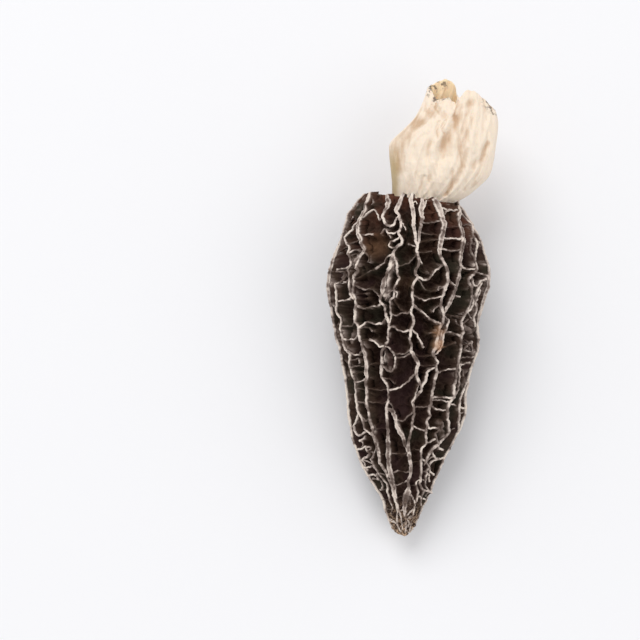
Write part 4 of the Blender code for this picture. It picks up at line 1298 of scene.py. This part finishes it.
def stem_mark(along, side):
    """Height in millimetres and tint that the creases and folds give to this place of the upper side. The
    tint is partly painted shade and highlight.
    """
    point = Vector((along, side))
    crooked = Vector((along * MARK_SWAY_FINENESS, side * MARK_SWAY_FINENESS, MARK_SWAY_SHIFT))
    point.y += MARK_SWAY * noise.noise(crooked)
    height = tint = 0.0
    for rise, reach, shade, line in STEM_LINES:
        full, faded = MARK_REACH
        share = 1.0 - ease(line_distance(point, line), full * reach, faded * reach)
        height += rise * share
        tint += shade * share
    return height, max(-1.0, min(1.0, tint))


def stem_sheet(share, across):
    """(along, side) of the flattened stem, a share of the way up it and of the way across it."""
    straight = even_point(STEM_LEFT, share).lerp(even_point(STEM_RIGHT, share), across)
    torn = even_point(STEM_MOUTH, across) - Vector(STEM_MOUTH[0]).lerp(Vector(STEM_MOUTH[-1]), across)
    return straight + torn * share ** TEAR_POWER


def stem_fold(share, turn):
    """Height of the long folds: 1 on their crests and well under 0 between them."""
    height = 0.0
    for strength, sharpness, around, up, shift in STEM_FOLDS:
        place = Vector((math.cos(turn) * around, math.sin(turn) * around, share * up + shift))
        height += strength * (1.0 - sharpness * abs(noise.noise(place)))
    return height


def stem_point(share, turn, wall, stem):
    """Point of the stem's outer face, or of its inner one where a wall is given."""
    left = even_point(STEM_LEFT, share)
    right = even_point(STEM_RIGHT, share)
    half_width = (right - left).length / 2
    half_depth = read(STEM_HALF_DEPTH, share)
    across = 0.5 - 0.5 * math.cos(turn) * (1.0 - wall / half_width)
    along, side = stem_sheet(share, across)
    upwards = math.sin(turn)
    near = ease(upwards, *NEAR_SIDE)
    full, faded = LIP_EDGE
    lip = 1.0 - ease(abs(across - LIP_MIDDLE), full * LIP_REACH, faded * LIP_REACH)
    along += LIP_DROP * lip * near * share ** LIP_POWER
    over, up = CREASE_FINENESS
    place = Vector((side * over, along * up, upwards * half_depth)) * CREASE_SCALE
    folds = stem_fold(share, turn) * stem.fold_height / MM
    folds += noise.fractal(place, *CREASE_FRACTAL) * stem.crease_height / MM * CREASE_STRENGTH
    folds += stem_mark(along, side)[0] * ease(upwards, *UPPER_SIDE)
    depth = (half_depth - wall + folds * ease(share, *FOLDS_BEGIN)) * upwards
    curl = CURL * lip * (1.0 - near) * ease(share, *CURL_FROM)
    torn = noise.noise(Vector((side * RAGGED_FINENESS, turn, RAGGED_SHIFT)))
    ragged = RAGGED * ease(share, *RAGGED_FROM) * torn
    return Vector((side, -along + ragged, read(STEM_BEND, share) + depth + curl))


def build_stem(stem, material):
    bm = bmesh.new()
    layers = {name: bm.verts.layers.float.new(name) for name in ("fold_shade_and_marks", "inside", "neck", "soil")}
    rows = STEM_OUTER_ROWS + STEM_INNER_ROWS + 1
    wall = stem.wall / MM

    def station(column, row):
        turn = 2.0 * math.pi * column / STEM_COLUMNS
        if row <= STEM_OUTER_ROWS:
            return row / STEM_OUTER_ROWS, turn, 0.0
        if row == rows:
            return 0.0, turn, 0.0
        return 1.0 - (row - STEM_OUTER_ROWS - 1) / STEM_INNER_ROWS, turn, wall

    def spot(column, row):
        share, turn, depth = station(column, row)
        return stem_point(share, turn, depth, stem)

    middle, by_fold, by_tint = FOLD_TONE
    lines = grid_rows(bm, STEM_COLUMNS, rows, spot)
    for row, verts in enumerate(lines):
        for column, vert in enumerate(verts):
            share, turn, depth = station(column % STEM_COLUMNS, row)
            across = 0.5 - 0.5 * math.cos(turn)
            flat = stem_sheet(share, across)
            tint = 0.0 if depth else stem_mark(*flat)[1] * ease(math.sin(turn), *UPPER_SIDE)
            soil = min(line_distance(flat, line) for line in SOIL_LINES)
            # painted shade: the folds' valleys darker and their crests paler, plus the marks' tint
            vert[layers["fold_shade_and_marks"]] = middle + by_fold * stem_fold(share, turn) + by_tint * tint
            vert[layers["inside"]] = 1.0 if depth else 0.0
            # khaki tint and painted shade along the neck's left side
            vert[layers["neck"]] = (1.0 - ease(across, *NECK_ACROSS)) * (1.0 - ease(share, *NECK_UP))
            vert[layers["soil"]] = 1.0 - ease(soil, *SOIL_REACH)
    close_grid(bm, lines, join_ends=True)
    return finish_piece("stem_flesh_folds", bm, material, "stem_flesh", "stem")


# Finishes: noise is (scale, detail), lengths are in metres, "from" and "edge" are where a share begins and is
# full, roughness is least and more, and bump is (distance, strength)

NOISE_ROUGHNESS = 0.55

DARK_MOTTLE = (900.0, 4.0)
DARK_GRAIN = (4200.0, 3.0)
MOTTLE_SHIFT = 0.30
GRAIN_SHIFT = 0.16
DARK_STOPS = (0.08, 0.40, 0.66, 0.86, 1.0)
LOW_FROM = (0.3, 0.7)
CLOUDS = (170.0, 2.0)
OLIVE_CLOUDS = (0.52, 0.64)
PLUM_CLOUDS = (0.48, 0.36)
CLOUD_SHARE = 0.6
RIM_FROM = (0.0385, 0.0485)
RIM_PATCHES = (260.0, 2.0)
RIM_PATCH_EDGE = (0.38, 0.62)
RUST_SHARE = 0.75
TIP_REACH = (0.0026, 0.0066)
TIP_WANDER = 0.003
CRUMB_GRAIN = 0.6
CRUMB_STOPS = (0.40, 0.47, 0.57)
CLEAN_CREST_FROM = (0.45, 0.8)
CLEAN_CREST_SHARE = 0.75
DARK_ROUGHNESS = (0.62, 0.25)
DARK_SHINE = 0.12
DARK_BUMP = (0.00012, 0.55)

PALE_MOTTLE = (420.0, 5.0)
PALE_GRAIN = (2600.0, 4.0)
STREAKS = (1500.0, 3.0)
STREAK_STRETCH = (1.0, 0.16, 1.0)
MOTTLE_SHARE = 0.55
STREAK_SHARE = 0.4
FOLD_FROM = (0.55, 1.25)
PALE_STOPS = (0.0, 0.55)
NECK_SHARE = 0.8
CLODS = (1500.0, 3.0)
CLOD_EDGE = (0.50, 0.60)
SOIL_SHARE = 0.75
PALE_ROUGHNESS = 0.68
PALE_BUMP = (0.00014, 0.5)
SUBSURFACE_WEIGHT = 0.12
SUBSURFACE_RADIUS = (1.0, 0.6, 0.35)
SUBSURFACE_SCALE = 0.0008

FLOOR_CLOUDS = (2.0, 2.0)
FLOOR_STOPS = (0.3, 0.7)
FLOOR_PALER = 1.02
FLOOR_ROUGHNESS = 0.9


def new_material(name):
    """A material with its node tree, Principled shader and Object coordinates."""
    material = bpy.data.materials.new(name)
    material.use_nodes = True
    tree = material.node_tree
    shader = tree.nodes["Principled BSDF"]
    place = tree.nodes.new("ShaderNodeTexCoord").outputs["Object"]
    return material, tree, shader, place


def noise_node(tree, place, kind):
    node = tree.nodes.new("ShaderNodeTexNoise")
    node.inputs["Scale"].default_value, node.inputs["Detail"].default_value = kind
    node.inputs["Roughness"].default_value = NOISE_ROUGHNESS
    tree.links.new(place, node.inputs["Vector"])
    return node.outputs["Fac"]


def attribute(tree, name):
    node = tree.nodes.new("ShaderNodeAttribute")
    node.attribute_name = name
    return node.outputs["Fac"]


def feed(tree, socket, value):
    """Gives a socket its value: another socket, a number or a colour."""
    if isinstance(value, bpy.types.NodeSocket):
        tree.links.new(value, socket)
    else:
        socket.default_value = value


def maths(tree, operation, first, second, clamp=False):
    """A Math node: each input is a socket or a number."""
    node = tree.nodes.new("ShaderNodeMath")
    node.operation = operation
    node.use_clamp = clamp
    feed(tree, node.inputs[0], first)
    feed(tree, node.inputs[1], second)
    return node.outputs["Value"]


def plus(tree, first, second):
    return maths(tree, "ADD", first, second)


def times(tree, first, second, clamp=False):
    return maths(tree, "MULTIPLY", first, second, clamp)


def rest_of(tree, value):
    """1 less the value, clamped."""
    return maths(tree, "SUBTRACT", 1.0, value, True)


def spread(tree, value, low, high):
    """0 at low, 1 at high, clamped."""
    node = tree.nodes.new("ShaderNodeMapRange")
    tree.links.new(value, node.inputs["Value"])
    node.inputs["From Min"].default_value = low
    node.inputs["From Max"].default_value = high
    return node.outputs["Result"]


def ramp(tree, value, stops, colours):
    """Colours along a value, each at its stop."""
    node = tree.nodes.new("ShaderNodeValToRGB")
    tree.links.new(value, node.inputs["Fac"])
    elements = node.color_ramp.elements
    for index, (at, colour) in enumerate(zip(stops, colours)):
        element = elements[index] if index < 2 else elements.new(at)
        element.position = at
        element.color = (*colour, 1.0)
    return node.outputs["Color"]


def blend(tree, share, first, second):
    """Mix of two colours: the second is a socket or a colour."""
    node = tree.nodes.new("ShaderNodeMix")
    node.data_type = "RGBA"
    tree.links.new(share, node.inputs["Factor"])
    tree.links.new(first, node.inputs["A"])
    feed(tree, node.inputs["B"], second if isinstance(second, bpy.types.NodeSocket) else (*second, 1.0))
    return node.outputs["Result"]


def bump(tree, shader, value, distance, strength):
    node = tree.nodes.new("ShaderNodeBump")
    node.inputs["Distance"].default_value = distance
    node.inputs["Strength"].default_value = strength
    tree.links.new(value, node.inputs["Height"])
    tree.links.new(node.outputs["Normal"], shader.inputs["Normal"])


def along_cap(tree, place):
    """Distance from the tip along the ground, in metres."""
    node = tree.nodes.new("ShaderNodeSeparateXYZ")
    tree.links.new(place, node.inputs["Vector"])
    return maths(tree, "SUBTRACT", node.outputs["Y"], SOLID_BOX[0].y)


def dark_flesh(colours):
    """Black-brown pits, taupe flanks and pale crests with painted highlight at the outline, red-brown by the
    rim and crumbly tan at the tip.
    """
    material, tree, shader, place = new_material("dark_morel_flesh")
    mottle = noise_node(tree, place, DARK_MOTTLE)
    grain = noise_node(tree, place, DARK_GRAIN)
    height = attribute(tree, "height")
    shifted = height
    for cloud, shift in ((mottle, MOTTLE_SHIFT), (grain, GRAIN_SHIFT)):
        shifted = plus(tree, shifted, times(tree, plus(tree, cloud, -0.5), shift))
    tone = ramp(tree, shifted, DARK_STOPS, (
        colours.pit, colours.wall, colours.flank, colours.crest, colours.fresh_and_highlight,
    ))
    low = rest_of(tree, spread(tree, shifted, *LOW_FROM))
    cloudy = noise_node(tree, place, CLOUDS)
    for edge, tint in ((OLIVE_CLOUDS, colours.olive), (PLUM_CLOUDS, colours.plum)):
        share = times(tree, spread(tree, cloudy, *edge), CLOUD_SHARE)
        tone = blend(tree, times(tree, share, low), tone, tint)
    tip_distance = along_cap(tree, place)
    by_rim = spread(tree, tip_distance, *RIM_FROM)
    patchy = spread(tree, noise_node(tree, place, RIM_PATCHES), *RIM_PATCH_EDGE)
    tone = blend(tree, times(tree, times(tree, by_rim, low), patchy), tone, colours.rim)
    tone = blend(tree, times(tree, attribute(tree, "rust"), RUST_SHARE), tone, colours.rust)
    worn = plus(tree, tip_distance, times(tree, mottle, TIP_WANDER))
    crumb = rest_of(tree, spread(tree, worn, *TIP_REACH))
    mixed = plus(tree, times(tree, grain, CRUMB_GRAIN), times(tree, mottle, 1.0 - CRUMB_GRAIN))
    crumbs = ramp(tree, mixed, CRUMB_STOPS, (colours.pit, colours.wall, colours.tip))
    clean = times(tree, spread(tree, height, *CLEAN_CREST_FROM), CLEAN_CREST_SHARE)
    tone = blend(tree, times(tree, crumb, rest_of(tree, clean)), tone, crumbs)
    tree.links.new(tone, shader.inputs["Base Color"])
    least, more = DARK_ROUGHNESS
    tree.links.new(plus(tree, least, times(tree, mottle, more)), shader.inputs["Roughness"])
    shader.inputs["Specular IOR Level"].default_value = DARK_SHINE
    bump(tree, shader, plus(tree, grain, mottle), *DARK_BUMP)
    return material


def pale_flesh(colours):
    """Cream papery flesh with painted shade in its tan fold valleys and creases, a khaki neck side with
    painted shade, an orange-tan inside and specks of soil.
    """
    material, tree, shader, place = new_material("pale_morel_flesh")
    mottle = noise_node(tree, place, PALE_MOTTLE)
    grain = noise_node(tree, place, PALE_GRAIN)
    mapping = tree.nodes.new("ShaderNodeMapping")
    mapping.inputs["Scale"].default_value = STREAK_STRETCH
    tree.links.new(place, mapping.inputs["Vector"])
    streaks = noise_node(tree, mapping.outputs["Vector"], STREAKS)
    mixed = plus(tree, times(tree, mottle, MOTTLE_SHARE), times(tree, streaks, STREAK_SHARE))
    # painted shade of the folds and creases, with mottle and streaks
    fold_shade_and_marks = plus(tree, attribute(tree, "fold_shade_and_marks"), mixed)
    tone = ramp(tree, spread(tree, fold_shade_and_marks, *FOLD_FROM), PALE_STOPS, (colours.stem_fold, colours.stem))
    tone = blend(tree, times(tree, attribute(tree, "neck"), NECK_SHARE), tone, colours.stem_side_tint_and_shade)
    tone = blend(tree, attribute(tree, "inside"), tone, colours.stem_inside)
    clods = spread(tree, noise_node(tree, place, CLODS), *CLOD_EDGE)
    specks = times(tree, attribute(tree, "soil"), clods, True)
    tone = blend(tree, times(tree, specks, SOIL_SHARE), tone, colours.wall)
    tree.links.new(tone, shader.inputs["Base Color"])
    shader.inputs["Roughness"].default_value = PALE_ROUGHNESS
    shader.inputs["Subsurface Weight"].default_value = SUBSURFACE_WEIGHT
    shader.inputs["Subsurface Radius"].default_value = SUBSURFACE_RADIUS
    shader.inputs["Subsurface Scale"].default_value = SUBSURFACE_SCALE
    bump(tree, shader, plus(tree, grain, streaks), *PALE_BUMP)
    return material


def plain_finish(name, colour):
    material, tree, shader, place = new_material(name)
    paler = [min(1.0, part * FLOOR_PALER) for part in colour]
    tone = ramp(tree, noise_node(tree, place, FLOOR_CLOUDS), FLOOR_STOPS, (colour, paler))
    tree.links.new(tone, shader.inputs["Base Color"])
    shader.inputs["Roughness"].default_value = FLOOR_ROUGHNESS
    return material


def shared(name, make, colours):
    """The material of this name, made the first time it is asked for."""
    return bpy.data.materials.get(name) or make(colours)


# Operators

class MOREL_OT_cap_flesh(bpy.types.Operator):
    """Adds the cap's dark flesh with its pits and its hollow"""

    bl_idname = "morel.cap_flesh"
    bl_label = "Cap Flesh"

    def execute(self, context):
        scene = context.scene
        build_flesh(scene.morel_cap, shared("dark_morel_flesh", dark_flesh, scene.morel_colours))
        return {"FINISHED"}


class MOREL_OT_cap_ridges(bpy.types.Operator):
    """Adds the long ridges of the cap"""

    bl_idname = "morel.cap_ridges"
    bl_label = "Cap Ridges"

    def execute(self, context):
        scene = context.scene
        ridges, _ = draw_net(scene.morel_cap)
        build_crests("cap_ridges", ridges, shared("dark_morel_flesh", dark_flesh, scene.morel_colours))
        return {"FINISHED"}


class MOREL_OT_cap_ribs(bpy.types.Operator):
    """Adds the cross ribs of the cap"""

    bl_idname = "morel.cap_ribs"
    bl_label = "Cap Ribs"

    def execute(self, context):
        scene = context.scene
        _, ribs = draw_net(scene.morel_cap)
        build_crests("cap_ribs", ribs, shared("dark_morel_flesh", dark_flesh, scene.morel_colours))
        return {"FINISHED"}


class MOREL_OT_stem(bpy.types.Operator):
    """Adds the crumpled hollow stem"""

    bl_idname = "morel.stem"
    bl_label = "Stem"

    def execute(self, context):
        scene = context.scene
        build_stem(scene.morel_stem, shared("pale_morel_flesh", pale_flesh, scene.morel_colours))
        return {"FINISHED"}


# Soft lights, in metres
KEY_PLACE = (-0.32, 0.58, 0.90)
FILL_PLACE = (0.60, -0.20, 0.90)
LIGHT_AIM = (0.0, 0.0, 0.01)
LIGHT_SIZE = 0.80


def soft_light(name, place, power):
    data = bpy.data.lights.new(name, "AREA")
    data.shape = "DISK"
    data.size = LIGHT_SIZE
    data.energy = power
    light = bpy.data.objects.new(name, data)
    bpy.context.scene.collection.objects.link(light)
    light.location = place
    light.rotation_euler = (Vector(LIGHT_AIM) - Vector(place)).to_track_quat("-Z", "Y").to_euler()


def add_camera(stage):
    """Looks square at the morel's axis, framed as in the photograph."""
    lying = lying_frame()
    along, side = photo_place(*PHOTO_MIDDLE)
    middle = lying @ Vector((side, -along, 0.0)) * MM
    data = bpy.data.cameras.new("camera")
    data.lens = stage.focal_length
    seen_width = PHOTO_WIDTH * MM_PER_PIXEL * MM
    away = seen_width * data.lens / data.sensor_width
    camera = bpy.data.objects.new("camera", data)
    bpy.context.scene.collection.objects.link(camera)
    turn = lying.to_3x3()
    camera.location = middle + turn @ Vector((0.0, 0.0, away))
    camera.rotation_euler = turn.to_euler()
    bpy.context.scene.camera = camera


class MOREL_OT_stage(bpy.types.Operator):
    """Adds the pale floor, the soft light and the camera"""

    bl_idname = "morel.stage"
    bl_label = "Stage"

    def execute(self, context):
        stage = context.scene.morel_stage
        bm = bmesh.new()
        bmesh.ops.create_grid(bm, x_segments=1, y_segments=1, size=stage.floor_size / 2)
        mesh = bpy.data.meshes.new("floor")
        bm.to_mesh(mesh)
        bm.free()
        mesh.materials.append(plain_finish("plain_floor", stage.floor_colour))
        floor = bpy.data.objects.new("floor", mesh)
        context.scene.collection.objects.link(floor)
        floor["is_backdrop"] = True
        soft_light("key", KEY_PLACE, stage.key_power)
        soft_light("fill", FILL_PLACE, stage.fill_power)
        world = bpy.data.worlds.new("studio")
        world.use_nodes = True
        background = world.node_tree.nodes["Background"]
        background.inputs["Color"].default_value = (1.0, 1.0, 1.0, 1.0)
        background.inputs["Strength"].default_value = stage.sky_strength
        context.scene.world = world
        context.scene.view_settings.view_transform = "Standard"
        add_camera(stage)
        return {"FINISHED"}


class MOREL_PT_panel(bpy.types.Panel):
    """Lists the morel's settings and steps"""

    bl_idname = "MOREL_PT_panel"
    bl_label = "Dried Black Morel"
    bl_space_type = "VIEW_3D"
    bl_region_type = "UI"
    bl_category = "Morel"

    def draw(self, context):
        layout = self.layout
        for group in SETTINGS:
            settings = getattr(context.scene, group)
            box = layout.box()
            for name in settings.__annotations__:
                box.prop(settings, name)
        for operator in OPERATORS:
            layout.operator(operator.bl_idname)


SETTINGS = {
    "morel_cap": MorelCap,
    "morel_stem": MorelStem,
    "morel_colours": MorelColours,
    "morel_stage": MorelStage,
}
OPERATORS = (MOREL_OT_cap_flesh, MOREL_OT_cap_ridges, MOREL_OT_cap_ribs, MOREL_OT_stem, MOREL_OT_stage)


def register():
    for name, group in SETTINGS.items():
        bpy.utils.register_class(group)
        setattr(bpy.types.Scene, name, bpy.props.PointerProperty(type=group))
    for operator in OPERATORS:
        bpy.utils.register_class(operator)
    bpy.utils.register_class(MOREL_PT_panel)


def unregister():
    bpy.utils.unregister_class(MOREL_PT_panel)
    for operator in reversed(OPERATORS):
        bpy.utils.unregister_class(operator)
    for name, group in reversed(SETTINGS.items()):
        delattr(bpy.types.Scene, name)
        bpy.utils.unregister_class(group)


def main():
    register()
    bpy.ops.morel.cap_flesh()
    bpy.ops.morel.cap_ridges()
    bpy.ops.morel.cap_ribs()
    bpy.ops.morel.stem()
    bpy.ops.morel.stage()
    boxes = {"cad": SOLID_BOX, "visual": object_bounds()}
    {name: [list(corner) for corner in box] for name, box in boxes.items()}


if __name__ == "__main__":
    main()
